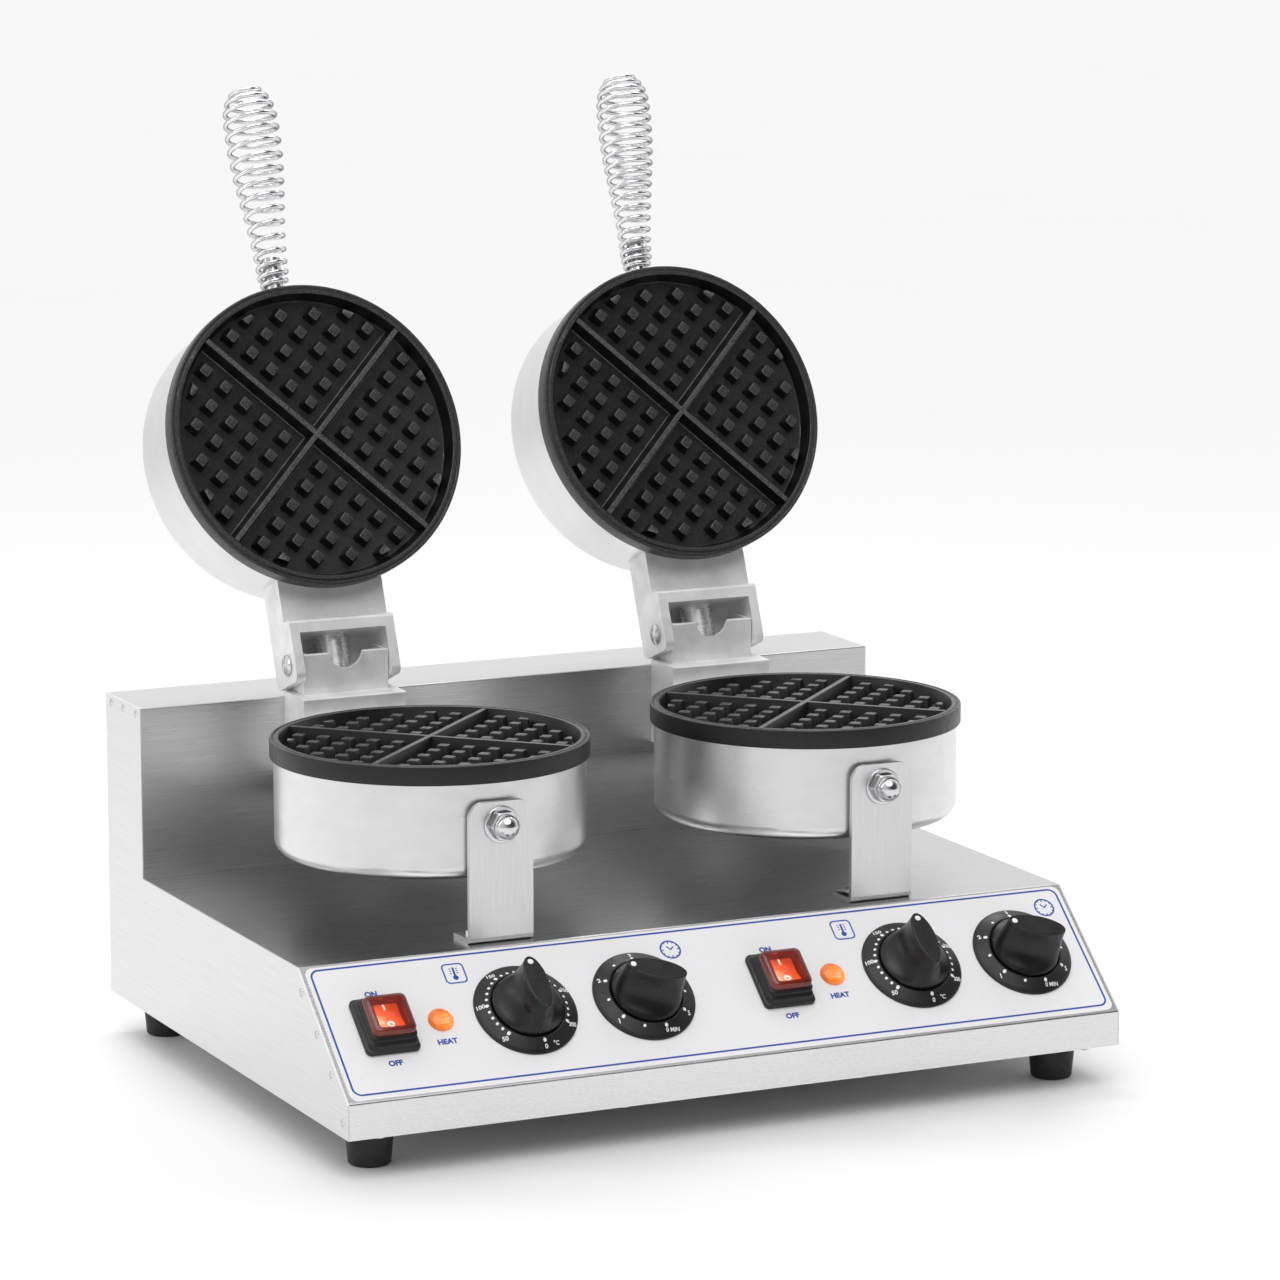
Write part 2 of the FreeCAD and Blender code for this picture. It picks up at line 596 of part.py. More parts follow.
def lid_bracket(side):
    """Arm, crosspiece, two ears and a web, drawn with the lid shut."""
    x = HEADS[side]
    top, low, arm_low = FOOT_H + BRACKET_TOP_H, FOOT_H + BRACKET_LOW_H, FOOT_H + ARM_LOW_H
    arm = box(x - EAR_HALF, x + EAR_HALF, HEAD_Y + 76, CROSS_Y, arm_low, top)
    arm = arm.cut(box(x - EAR_HALF + 3, x + EAR_HALF - 3, HEAD_Y + 60, CROSS_Y + 1, arm_low + 3, top - 3))
    cross = box(x - EAR_HALF, x + EAR_HALF, CROSS_Y, WINDOW_Y, low, top)
    bracket = arm.fuse(cross)
    for sign in (-1, 1):
        inner, outer = sign * (EAR_HALF - EAR_T), sign * EAR_HALF
        ear = box(x + min(inner, outer), x + max(inner, outer), WINDOW_Y - 1, EAR_END_Y, low, top)
        ear = fillet_where(ear, 5.0, lambda m, e: along_x(e) and m.y > EAR_END_Y - 0.01)
        bracket = bracket.fuse(ear)
    inner = EAR_HALF - EAR_T
    web = box(x - inner, x + inner, WINDOW_Y - 1, WEB_END_Y, top - 3, top)
    web = fillet_where(web, 1.0, lambda m, e: along_x(e) and m.y > WEB_END_Y - 0.01)
    bracket = bracket.fuse(web).removeSplitter()

    def front_lip(middle, edge):
        lip = abs(middle.y - CROSS_Y) < 0.01 and abs(middle.z - low) < 0.01
        return along_x(edge) and lip

    bracket = fillet_where(bracket, 2.5, front_lip)
    tube_z = FOOT_H + TUBE_H
    bracket = bracket.cut(rod(TUBE_R, V(x, HEAD_Y, tube_z), V(x, WINDOW_Y + 1, tube_z)))
    bracket = bracket.cut(rod(4.05, V(x - 60, PIN_Y, PIN_Z), V(x + 60, PIN_Y, PIN_Z)))
    drum = Part.makeCylinder(DRUM_R, 300, V(x, HEAD_Y, 0))
    return bracket.cut(drum)


def conduit(side):
    """Polished tube that takes the wires from the post into the lid."""
    x, z = HEADS[side], FOOT_H + TUBE_H
    front_y, end_y = HEAD_Y + DRUM_R - 6, PIN_Y + 5
    tube = rod(TUBE_R, V(x, front_y, z), V(x, end_y, z))
    tube = tube.cut(rod(TUBE_R - 1.2, V(x, front_y - 1, z), V(x, end_y + 1, z)))
    return tube


HANDLE_BASE_Y = 76.5
COIL_LEN = 129.0
WIRE_R = 1.5


def coil_radius(s):
    """Radius of the wire's middle line along the handle, s from 0 at the neck to 1."""
    swell = 8.9 + 7.7 * math.sin(min(s / 0.76, 1.0) * math.pi / 2) ** 2.4
    swell -= 1.7 * max(0.0, 1 - s / 0.06)
    if s > 0.76:
        swell -= 8.2 * ((s - 0.76) / 0.24) ** 4
    return swell


def coil_advance(t):
    """Distance along the handle, as a share of it, after a share t of the turns."""
    return t - 0.040 * math.sin(2 * math.pi * t) - 0.012 * math.sin(4 * math.pi * t)


def handle_coil(side):
    """Air-cooled spring handle wound from one wire, drawn along -Y with the lid shut."""
    turns = HANDLE_TURNS[side]
    steps = turns * 10
    points = []
    for k in range(steps + 1):
        t = k / steps
        s = coil_advance(t)
        angle = 2 * math.pi * turns * t
        radius = coil_radius(s)
        points.append(V(radius * math.cos(angle), -COIL_LEN * s, radius * math.sin(angle)))
    curve = Part.BSplineCurve()
    curve.interpolate(points)
    path = Part.Wire(curve.toShape())
    start_dir = curve.tangent(curve.FirstParameter)[0]
    section = Part.Wire(Part.Circle(points[0], start_dir, WIRE_R).toShape())
    coil = path.makePipeShell([section], True, True)
    return place_handle(coil, side)


def place_handle(shape, side):
    placed = shape.copy()
    placed.rotate(V(0, HEAD_Y - DRUM_R - HANDLE_BASE_Y, 0), V(0, 0, 1), HANDLE_SWAY[side])
    placed.translate(V(HEADS[side], HANDLE_BASE_Y, FOOT_H + HANDLE_H))
    return placed


def handle_stud(side):
    """Threaded core of the handle with a hexagonal neck at the drum."""
    wall_y = HEAD_Y - DRUM_R
    neck = hexagon(14.0, 1.6, wall_y - HANDLE_BASE_Y - 0.7)
    core = Part.makeCylinder(5.5, 21.0, V(0, 0, -19))
    shank = Part.makeCylinder(4.0, 20.0, V(0, 0, 0))
    nut = hexagon(13.0, wall_y - HANDLE_BASE_Y + DRUM_WALL + 1.0, wall_y - HANDLE_BASE_Y + 8)
    stud = neck.fuse([core, shank, nut])
    stud.rotate(V(0, 0, 0), V(1, 0, 0), -90)
    return place_handle(stud, side)


# ---------------------------------------------------------------- controls
ROCKER_AXIS_H = 2.0  # rocker pivot above the panel
ROCKER_TILT = 8.0  # degrees either way of level


def switch_body():
    """Black frame of the rocker switch and its body behind the panel."""
    body = rounded_block(33.0, 38.0, 0.4, 3.4, 3.0).fuse(rounded_block(27.4, 31.4, -20.0, 1.0, 1.5))
    body = body.cut(box(-10.6, 10.6, -12.6, 12.6, -3.0, 10.0))
    body = body.cut(rod(1.56, V(-12.4, 0, ROCKER_AXIS_H), V(12.4, 0, ROCKER_AXIS_H)))
    for dx in (-6, 0, 6):
        body = body.fuse(box(dx - 0.4, dx + 0.4, -3, 3, -29.0, -19.0))
    return body


def switch_rocker():
    """Rocker key on its own pivot, drawn level."""
    outline = [(-10.6, 1.0), (-11.2, 9.4), (0, 7.4), (11.2, 9.4), (10.6, 1.0), (0, -2.2)]
    trunnions = rod(1.5, V(-12.0, 0, ROCKER_AXIS_H), V(12.0, 0, ROCKER_AXIS_H))
    return prism_x(outline, -9.6, 9.6).fuse(trunnions)


def switch_cover():
    """Clear splash boot over the rocker."""
    lower = rounded_block(29.0, 31.0, 3.4, 8.0, 4.0)
    upper = rounded_block(27.0, 27.0, 8.0, 15.6, 4.0)
    cover = lower.fuse(upper)
    hollow = rounded_block(24.4, 26.6, 3.0, 8.4, 2.5).fuse(rounded_block(24.4, 24.8, 8.0, 14.2, 2.5))
    return cover.cut(hollow)


def heat_lamps():
    """Amber indicator lamps with domed lenses."""
    dome = Part.makeSphere(9.6)
    dome.translate(V(0, 0, -5.2))
    lens = dome.common(Part.makeCylinder(7.6, 6.0, V(0, 0, 0.4)))
    lamp = lens.fuse(Part.makeCylinder(5.9, 24.0, V(0, 0, -22.5)))
    return Part.makeCompound([on_panel(lamp, x) for _, _, x, _, _ in control_positions()])


def dial_rings():
    """Fixed scale rings around the four knobs."""
    ring = turned([(6.0, 0.4), (31.0, 0.4), (31.0, 1.8), (29.8, 2.6), (23.2, 5.6), (22.4, 5.6),
                   (22.4, 1.4), (6.0, 1.4)])
    rings = []
    for _, _, _, thermostat_x, timer_x in control_positions():
        rings.append(on_panel(ring, thermostat_x))
        rings.append(on_panel(ring, timer_x))
    return Part.makeCompound(rings)


def knob():
    """Wing-grip knob with its spindle, pointing up the panel."""
    sections = []
    for height, half_long, half_wide in ((2.0, 21.6, 21.4), (8.0, 21.0, 20.6), (13.0, 20.0, 14.0),
                                         (19.0, 19.0, 8.8), (25.0, 18.6, 7.2), (29.0, 18.4, 6.8)):
        ellipse = Part.Ellipse(V(0, 0, height), half_long, half_wide).toShape()
        ellipse.rotate(V(0, 0, height), V(0, 0, 1), 90)
        sections.append(Part.Wire(ellipse))
    grip = Part.makeLoft(sections, True, False)
    spindle = Part.makeCylinder(3.0, 24.0, V(0, 0, -21.0))
    return grip.fuse(spindle)


def control_body(width, height, depth):
    """Thermostat or timer works behind the panel, with a bush for the spindle."""
    works = rounded_block(width, height, -depth, -8.0, 3.0)
    works = works.fuse(Part.makeCylinder(4.8, 9.0, V(0, 0, -8.5)))
    return works.cut(Part.makeCylinder(3.06, 22.0, V(0, 0, -21.2)))


def thermostats():
    """Capillary thermostats, each with its bulb under the lower plate."""
    pieces = []
    for side, _, _, x, _ in control_positions():
        pieces.append(on_panel(control_body(34.0, 42.0, 30.0), x))
        bulb = rod(3.0, V(-35, 0, -PLATE_BACK - 3.2), V(35, 0, -PLATE_BACK - 3.2))
        pieces.append(at_head(bulb, side))
    return Part.makeCompound(pieces)


def timers():
    """Clockwork timers."""
    return Part.makeCompound([on_panel(control_body(44.0, 44.0, 34.0), x) for _, _, _, _, x in control_positions()])


# ---------------------------------------------------------------- the whole baker
def write_casing():
    export(console_shell(), "console_shell")
    export(console_side(-1), "console_side_left")
    export(console_side(1), "console_side_right")
    export(rear_side(-1), "rear_side_left")
    export(rear_side(1), "rear_side_right")
    export(splash_panel(), "splash_panel")
    export(rear_panel(), "rear_panel")
    export(bottom_plate(), "bottom_plate")
    export(panel_overlay(), "panel_overlay")
    export(rubber_feet(), "rubber_feet")
    export(base_screws(), "base_screws")
    export(side_rivets(), "side_rivets")
    export(cable_gland(), "cable_gland")
    export(terminal_block(), "terminal_block")


def write_head(side, plate):
    x = HEADS[side]
    strap_hole = rod(4.1, V(STRAP_X[side] - x, -120, STRAP_NUT_H - PARTING_H), V(STRAP_X[side] - x, -60, STRAP_NUT_H - PARTING_H))
    wire_hole = rod(9.0, V(0, 60, -35), V(0, 120, -35))
    export(at_head(plate, side), side + "_lower_plate")
    export(at_head(drum_shell([strap_hole, wire_hole]), side), side + "_lower_drum")
    export(at_head(heater_ring(), side), side + "_lower_heater")
    export(at_head(insulation_disc(), side), side + "_lower_insulation")
    export(support_strap(side), side + "_support_strap")
    export(strap_fasteners(side), side + "_strap_fasteners")
    export(hinge_base(side), side + "_hinge_base")
    export(hinge_screws(side), side + "_hinge_screws")

    lid_z = PARTING_Z + LID_GAP
    stud_z = -(HANDLE_H - PARTING_H - LID_GAP)
    tube_z = -(TUBE_H - PARTING_H - LID_GAP)
    stud_hole = rod(4.4, V(0, 120, stud_z), V(0, 60, stud_z))
    tube_hole = rod(TUBE_R + 0.2, V(0, -60, tube_z), V(0, -120, tube_z))
    lid_drum = at_head(upside_down(drum_shell([stud_hole, tube_hole])), side, lid_z)
    export(swung_open(at_head(upside_down(plate), side, lid_z)), side + "_upper_plate")
    export(swung_open(lid_drum), side + "_upper_drum")
    export(swung_open(at_head(upside_down(heater_ring()), side, lid_z)), side + "_upper_heater")
    export(swung_open(at_head(upside_down(insulation_disc()), side, lid_z)), side + "_upper_insulation")
    export(swung_open(lid_bracket(side)), side + "_lid_bracket")
    export(swung_open(conduit(side)), side + "_wire_conduit")
    export(swung_open(handle_coil(side)), side + "_handle_coil")
    export(swung_open(handle_stud(side)), side + "_handle_stud")


def write_controls():
    for side, rocker_x, _, thermostat_x, timer_x in control_positions():
        export(on_panel(switch_body(), rocker_x), side + "_switch_body")
        pressed = switch_rocker()
        pressed.rotate(V(0, 0, ROCKER_AXIS_H), V(1, 0, 0), -ROCKER_TILT)
        export(on_panel(pressed, rocker_x), side + "_switch_rocker")
        export(on_panel(switch_cover(), rocker_x), side + "_switch_cover")
        export(on_panel(knob(), thermostat_x), side + "_thermostat_knob")
        export(on_panel(knob(), timer_x, ROW_V, TIMER_REST_DEG), side + "_timer_knob")
    export(heat_lamps(), "heat_lamps")
    export(dial_rings(), "dial_rings")
    export(thermostats(), "thermostats")
    export(timers(), "timers")


os.makedirs("parts", exist_ok=True)
write_casing()
plate_casting = baking_plate()
for head_side in HEADS:
    write_head(head_side, plate_casting)
write_controls()
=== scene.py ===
"""Looks of a double round waffle baker: finished pieces and materials on the CAD frame.

Lengths in the shape functions are millimetres; a piece is scaled to metres as it is made.
"""

import json
import math

import bmesh
import bpy
from mathutils import Matrix, Vector


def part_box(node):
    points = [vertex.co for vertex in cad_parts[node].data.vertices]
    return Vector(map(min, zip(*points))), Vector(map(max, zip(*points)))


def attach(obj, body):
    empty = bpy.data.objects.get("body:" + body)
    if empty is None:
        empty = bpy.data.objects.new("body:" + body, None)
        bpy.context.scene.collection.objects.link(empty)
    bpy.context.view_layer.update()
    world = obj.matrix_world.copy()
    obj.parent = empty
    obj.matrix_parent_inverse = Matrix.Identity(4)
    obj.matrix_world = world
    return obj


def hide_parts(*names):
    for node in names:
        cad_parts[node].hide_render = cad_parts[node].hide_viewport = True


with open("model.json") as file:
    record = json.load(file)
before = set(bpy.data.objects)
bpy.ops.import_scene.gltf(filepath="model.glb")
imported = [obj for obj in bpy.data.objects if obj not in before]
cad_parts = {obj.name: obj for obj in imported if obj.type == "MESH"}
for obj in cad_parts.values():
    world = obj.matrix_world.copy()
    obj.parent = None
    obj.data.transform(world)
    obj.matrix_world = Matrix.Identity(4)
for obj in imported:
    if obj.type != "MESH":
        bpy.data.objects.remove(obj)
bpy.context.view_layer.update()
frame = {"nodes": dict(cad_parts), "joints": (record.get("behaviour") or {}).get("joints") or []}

MM = 0.001
SIDES = ("left", "right")
JOINTS = {joint["name"]: joint for joint in frame["joints"]}
NODES = frame["nodes"]

# ---------------------------------------------------------------- places from the frame, and sizes
OPEN_ANGLE = math.radians(JOINTS["left_lid_hinge"]["range_deg"][1])
PANEL_NORMAL = -Vector(JOINTS["left_thermostat_turn"]["axis"]).normalized()
PANEL_UP = PANEL_NORMAL.cross(Vector((1, 0, 0))).normalized()
ROW_POINT = Vector(JOINTS["left_thermostat_turn"]["pos_m"])
LID_GAP = 0.5  # air between the two rims when the lid is shut

PLATE_R = 95.5
RIM_H = 11.5  # visible edge of a plate
CAVITY_R = 90.0
CAVITY_FLOOR_R = 87.4
CAVITY_DEPTH = 9.5
PLATE_BACK = 19.0  # thickness of the casting behind the rim
PEG_FIRST = 14.65  # first peg row from the ridge's middle
PEG_PITCH = 15.9
PEG_H = 7.4
PEG_HALF = 4.7
PEG_LIMIT_R = 84.5  # pegs by the wall are cut flat here
PLATE_SHARP_DEG = 14.0  # steeper edges than this stay crisp
HANDLE_TURNS = {"left": 17, "right": 20}
HANDLE_SWAY = {"left": 0.5, "right": 4.8}  # degrees each handle leans to the right
COIL_LEN = 129.0
COIL_POINTS = 16  # control points in one turn
WIRE_R = 1.5
DRUM_R = 93.1
NECK_LEN = 9.6  # from the coil's first turn to the drum
HANDLE_OVER_RIM = 34.6  # handle axis above the rim, lid shut

LAMP_DX = 34.8  # lamp to the right of its rocker switch
TIMER_REST = 71.0  # degrees the timer knob rests turned anticlockwise
FILM = 0.4  # thickness of the printed film on the panel
PRINT_LOW = FILM + 0.005
PRINT_HIGH = FILM + 0.05


def head_axis(side):
    """Where the axis of the lower plate meets its rim."""
    low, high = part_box(side + "_lower_plate")
    return Vector(((low.x + high.x) / 2, (low.y + high.y) / 2, high.z))


def open_lid(side):
    """Turn that takes a lid piece from shut to its open rest position."""
    pin = Vector(JOINTS[side + "_lid_hinge"]["pos_m"])
    turn = Matrix.Rotation(-OPEN_ANGLE, 4, "X")
    return Matrix.Translation(pin) @ turn @ Matrix.Translation(-pin)


def lower_head(side):
    return Matrix.Translation(head_axis(side)) @ Matrix.Scale(MM, 4)


def upper_head(side):
    """Frame of an upper plate: origin on its rim plane, Z out of the cavity."""
    centre = head_axis(side) + Vector((0, 0, LID_GAP * MM))
    face_down = Matrix.Translation(centre) @ Matrix.Rotation(math.pi, 4, "X")
    return open_lid(side) @ face_down @ Matrix.Scale(MM, 4)


def handle_frame(side):
    """Frame of a handle: origin at the neck end of the coil, -Y along the handle."""
    wall = head_axis(side) + Vector((0, -DRUM_R, HANDLE_OVER_RIM)) * MM
    lean = Matrix.Rotation(math.radians(HANDLE_SWAY[side]), 4, "Z")
    along = Matrix.Translation(Vector((0, -NECK_LEN, 0)) * MM)
    return open_lid(side) @ Matrix.Translation(wall) @ lean @ along @ Matrix.Scale(MM, 4)


def on_panel(x, twist=0.0):
    """Frame on the control panel in the controls' row: Y up the slope, Z off the steel."""
    origin = Vector((x * MM, ROW_POINT.y, ROW_POINT.z))
    axes = Matrix((Vector((1, 0, 0)), PANEL_UP, PANEL_NORMAL)).transposed().to_4x4()
    spin = Matrix.Rotation(math.radians(twist), 4, "Z")
    return Matrix.Translation(origin) @ axes @ spin @ Matrix.Scale(MM, 4)


def control_x(side, control):
    return JOINTS[side + "_" + control + "_turn"]["pos_m"][0] / MM


def switch_x(side):
    return JOINTS[side + "_rocker_switch"]["pos_m"][0] / MM


# ---------------------------------------------------------------- materials
class Nodes:
    """A node tree and short ways of adding to it."""

    def __init__(self, tree):
        self.tree = tree

    def link(self, source, target):
        self.tree.links.new(source, target)

    def node(self, kind, inputs=None, **settings):
        made = self.tree.nodes.new(kind)
        for key, value in settings.items():
            setattr(made, key, value)
        for socket, value in (inputs or {}).items():
            made.inputs[socket].default_value = value
        return made

    def ramp(self, value, first, second, low=0.0, high=1.0, middle=None):
        """Colour between two tones by a factor, by way of a middle tone if there is one."""
        made = self.node("ShaderNodeValToRGB")
        for element, position, tone in zip(made.color_ramp.elements, (low, high), (first, second)):
            element.position = position
            element.color = (*tone, 1)
        if middle:
            made.color_ramp.elements.new((low + high) / 2).color = (*middle, 1)
        self.link(value, made.inputs["Fac"])
        return made.outputs["Color"]

    def mix(self, factor, first, second, blend="MIX"):
        """Mix two colour sockets; a plain tone stands for a socket that isn't linked."""
        made = self.node("ShaderNodeMix", data_type="RGBA", blend_type=blend)
        targets = (made.inputs["Factor"], made.inputs[6], made.inputs[7])
        for value, target in zip((factor, first, second), targets):
            if isinstance(value, bpy.types.NodeSocket):
                self.link(value, target)
            else:
                target.default_value = value if isinstance(value, float) else (*value, 1)
        return made.outputs[2]

    def product(self, first, second):
        made = self.node("ShaderNodeMath", operation="MULTIPLY")
        self.link(first, made.inputs[0])
        self.link(second, made.inputs[1])
        return made.outputs["Value"]

    def vector_math(self, operation, vector, second=None, output="Vector"):
        """An operation on a vector socket; its second operand, if any, is a fixed vector."""
        made = self.node("ShaderNodeVectorMath", operation=operation)
        self.link(vector, made.inputs[0])
        if second is not None:
            made.inputs[1].default_value = second
        return made.outputs[output]

    def dot(self, vector, axis):
        """How far a vector socket reaches along an axis."""
        return self.vector_math("DOT_PRODUCT", vector, axis, "Value")

    def spread(self, value, low, high, from_low=0.3, from_high=0.7):
        """Map a factor onto a range of values."""
        limits = {"From Min": from_low, "From Max": from_high, "To Min": low, "To Max": high}
        mapped = self.node("ShaderNodeMapRange", limits)
        self.link(value, mapped.inputs["Value"])
        return mapped.outputs["Result"]


class Finish(Nodes):
    """A material with one Principled shader."""

    def __init__(self, name, color, roughness, metallic=0.0, **sockets):
        self.material = bpy.data.materials.new(name)
        self.material.use_nodes = True
        super().__init__(self.material.node_tree)
        self.shader = self.tree.nodes["Principled BSDF"]
        self.color = color
        self.shader.inputs["Base Color"].default_value = (*color, 1)
        self.shader.inputs["Roughness"].default_value = roughness
        self.shader.inputs["Metallic"].default_value = metallic
        for socket, value in sockets.items():
            self.shader.inputs[socket.replace("_", " ")].default_value = value
        self.coordinates = self.node("ShaderNodeTexCoord").outputs["Object"]

    def noise(self, scale, detail=3.0, stretch=(1, 1, 1), roughness=0.55):
        """Noise over the object, in features per metre, stretched along its axes."""
        mapping = self.node("ShaderNodeMapping", {"Scale": stretch})
        self.link(self.coordinates, mapping.inputs["Vector"])
        values = {"Scale": scale, "Detail": detail, "Roughness": roughness}
        noise = self.node("ShaderNodeTexNoise", values)
        self.link(mapping.outputs["Vector"], noise.inputs["Vector"])
        return noise.outputs["Fac"]

    def rough(self, value, low, high):
        self.link(self.spread(value, low, high), self.shader.inputs["Roughness"])

    def tint(self, value, dark, light):
        """Base colour between two tones by a factor."""
        self.link(self.ramp(value, dark, light, 0.3, 0.7), self.shader.inputs["Base Color"])

    def shades(self, value, amount):
        """Vary the finish's own colour by a share either way."""
        dark = tuple(c * (1 - amount) for c in self.color)
        light = tuple(min(1.0, c * (1 + amount)) for c in self.color)
        self.tint(value, dark, light)

    def bump(self, value, depth, strength=1.0):
        """Relief of a depth in millimetres; calls add up."""
        bump = self.node("ShaderNodeBump", {"Strength": strength, "Distance": depth * MM})
        self.link(value, bump.inputs["Height"])
        normal = self.shader.inputs["Normal"]
        if normal.links:
            self.link(normal.links[0].from_socket, bump.inputs["Normal"])
        self.link(bump.outputs["Normal"], normal)

    def round_noise(self, centre, turn, scale, detail, around):
        """Noise drawn out around an axis, for turned and spun metal."""
        frame_of_axis = {"Location": centre, "Rotation": turn}
        mapping = self.node("ShaderNodeMapping", frame_of_axis, vector_type="TEXTURE")
        self.link(self.coordinates, mapping.inputs["Vector"])
        parts = self.node("ShaderNodeSeparateXYZ")
        self.link(mapping.outputs["Vector"], parts.inputs["Vector"])
        flat = self.vector_math("MULTIPLY", mapping.outputs["Vector"], (1, 1, 0))
        rings = self.node("ShaderNodeCombineXYZ")
        self.link(self.vector_math("LENGTH", flat, output="Value"), rings.inputs["Z"])
        place = self.node("ShaderNodeVectorMath", operation="ADD")
        direction = self.vector_math("NORMALIZE", flat)
        self.link(self.vector_math("MULTIPLY", direction, (around,) * 3), place.inputs[0])
        self.link(rings.outputs["Vector"], place.inputs[1])
        values = {"Scale": scale, "Detail": detail}
        noise = self.node("ShaderNodeTexNoise", values, noise_dimensions="4D")
        self.link(place.outputs["Vector"], noise.inputs["Vector"])
        self.link(parts.outputs["Z"], noise.inputs["W"])
        return noise.outputs["Fac"]


def brushed_sheet(name, color, roughness, stretch):
    """Sheet steel with a fine grain, longest along the axis with the smallest stretch."""
    finish = Finish(name, color, roughness, metallic=1.0)
    grain = finish.noise(2400, 2, stretch)
    finish.shades(finish.noise(1700, 2, stretch), 0.05)
    finish.rough(grain, roughness - 0.025, roughness + 0.035)
    finish.bump(grain, 0.004, 0.35)
    finish.bump(finish.noise(3.2, 1), 0.25, 0.2)
    return finish


def two_tone_sheet(name, deck, front, roughness, stretch, front_y):
    """Brushed sheet that is brighter on the parts in front of a given Y."""
    finish = brushed_sheet(name, deck, roughness, stretch)
    parts = finish.node("ShaderNodeSeparateXYZ")
    finish.link(finish.coordinates, parts.inputs[0])
    is_front = finish.spread(parts.outputs["Y"], 1.0, 0.0, front_y - MM, front_y + MM)
    socket = finish.shader.inputs["Base Color"]
    finish.link(finish.mix(is_front, socket.links[0].from_socket, front), socket)
    return finish.material


def turned_steel(name, color, roughness, centre, turn):
    finish = Finish(name, color, roughness, metallic=1.0)
    grain = finish.round_noise(centre, turn, 1500, 4, around=0.006)
    bands = finish.round_noise(centre, turn, 90, 2, around=0.05)
    finish.shades(bands, 0.035)
    finish.rough(grain, roughness - 0.03, roughness + 0.04)
    finish.bump(grain, 0.005, 0.35)
    return finish.material


def cast_metal(name, color, roughness, metallic=1.0):
    """Linished casting: short scratches over a faintly pitted skin."""
    finish = Finish(name, color, roughness, metallic)
    scratch = finish.noise(420, 5, (0.12, 1, 1))
    pits = finish.noise(1100, 3)
    finish.shades(finish.noise(60, 4), 0.10)
    finish.rough(scratch, roughness - 0.07, roughness + 0.10)
    finish.bump(scratch, 0.02, 0.6)
    finish.bump(pits, 0.025, 0.5)
    return finish.material


def polished(name, color, roughness):
    finish = Finish(name, color, roughness, metallic=1.0, Specular_Tint=(0.25, 0.25, 0.27, 1))
    smear = finish.noise(140, 4)
    finish.rough(smear, roughness * 0.6, roughness * 1.7)
    finish.shades(finish.noise(25, 2), 0.03)
    return finish.material


def non_stick(name, place):
    """Black coating over a sand-cast skin, with painted shade on its walls and deep in the cavity, and
    crests painted paler as a highlight with some rubbed wear.

    The place is the plate's own frame, with Z out of the cavity and zero on the rim.
    """
    finish = Finish(name, (0.02, 0.02, 0.021), 0.38, Specular_IOR_Level=0.45)
    axis = (place.to_3x3() @ Vector((0, 0, 1))).normalized()
    rim = axis.dot(place.translation)
    along = finish.dot(finish.coordinates, axis)
    height = finish.spread(along, 0.0, 1.0, rim - CAVITY_DEPTH * MM, rim)
    # painted shade: the coating is coloured darker the deeper it lies below the rim
    painted_depth_shade = finish.ramp(height, (0.028, 0.028, 0.029), (0.062, 0.062, 0.063), 0.05, 0.70)
    facing = finish.dot(finish.node("ShaderNodeTexCoord").outputs["Normal"], axis)
    flat = finish.spread(facing, 0.0, 1.0, 0.35, 0.93)
    # painted shade: faces turned away from the plate's axis, the walls of ridges, pegs and rim, are coloured
    # near black
    painted_shade_tone = finish.mix(flat, (0.008, 0.008, 0.0085), painted_depth_shade)
    # painted highlight, with some rubbed wear: sharp edges facing out of the cavity are coloured pale grey,
    # less so up by the rim
    pointed = finish.spread(finish.node("ShaderNodeNewGeometry").outputs["Pointiness"], 0.0, 1.0, 0.52, 0.62)
    edge = finish.product(pointed, finish.spread(facing, 0.0, 1.0, 0.45, 0.80))
    edge_highlight_and_wear = finish.product(edge, finish.spread(height, 1.0, 0.32, 0.82, 0.92))
    painted_light_and_wear = finish.mix(edge_highlight_and_wear, painted_shade_tone, (0.34, 0.34, 0.34))
    speck = finish.noise(950, 3, roughness=0.7)
    tone = finish.ramp(speck, (0.14, 0.14, 0.14), (1.0, 1.0, 1.0), 0.35, 0.62)
    finish.link(finish.mix(1.0, painted_light_and_wear, tone, "MULTIPLY"), finish.shader.inputs["Base Color"])
    finish.rough(finish.noise(260, 4), 0.30, 0.44)
    finish.bump(finish.noise(2000, 3, roughness=0.7), 0.07, 0.75)
    finish.bump(speck, 0.05, 0.45)
    return finish.material


def moulded(name, color, roughness, grain_depth=0.02, grain_scale=1700):
    """Moulded plastic with a fine spark-eroded grain."""
    finish = Finish(name, color, roughness, Specular_IOR_Level=0.4)
    grain = finish.noise(grain_scale, 3)
    finish.shades(finish.noise(45, 3), 0.18)
    finish.rough(finish.noise(120, 3), roughness - 0.06, roughness + 0.08)
    finish.bump(grain, grain_depth, 0.6)
    return finish.material


def rubber():
    finish = Finish("rubber", (0.014, 0.014, 0.015), 0.6)
    finish.shades(finish.noise(80, 4), 0.35)
    finish.rough(finish.noise(300, 3), 0.5, 0.72)
    finish.bump(finish.noise(900, 4), 0.05, 0.6)
    return finish.material


def printed_film():
    """Pale polyester film with a faint orange peel."""
    finish = Finish("printed_film", (0.885, 0.885, 0.895), 0.30, Coat_Weight=0.3, Coat_Roughness=0.2)
    finish.shades(finish.noise(6, 2), 0.012)
    finish.rough(finish.noise(500, 3), 0.26, 0.36)
    finish.bump(finish.noise(420, 2), 0.012, 0.5)
    return finish.material


def ink(name, color, roughness=0.4, glow=None):
    """Screen print; a glow lights it from behind."""
    finish = Finish(name, color, roughness)
    if glow:
        finish.shader.inputs["Emission Color"].default_value = (*glow, 1)
        finish.shader.inputs["Emission Strength"].default_value = 0.9
    finish.shades(finish.noise(1300, 3), 0.10)
    finish.rough(finish.noise(700, 2), roughness - 0.08, roughness + 0.08)
    return finish.material


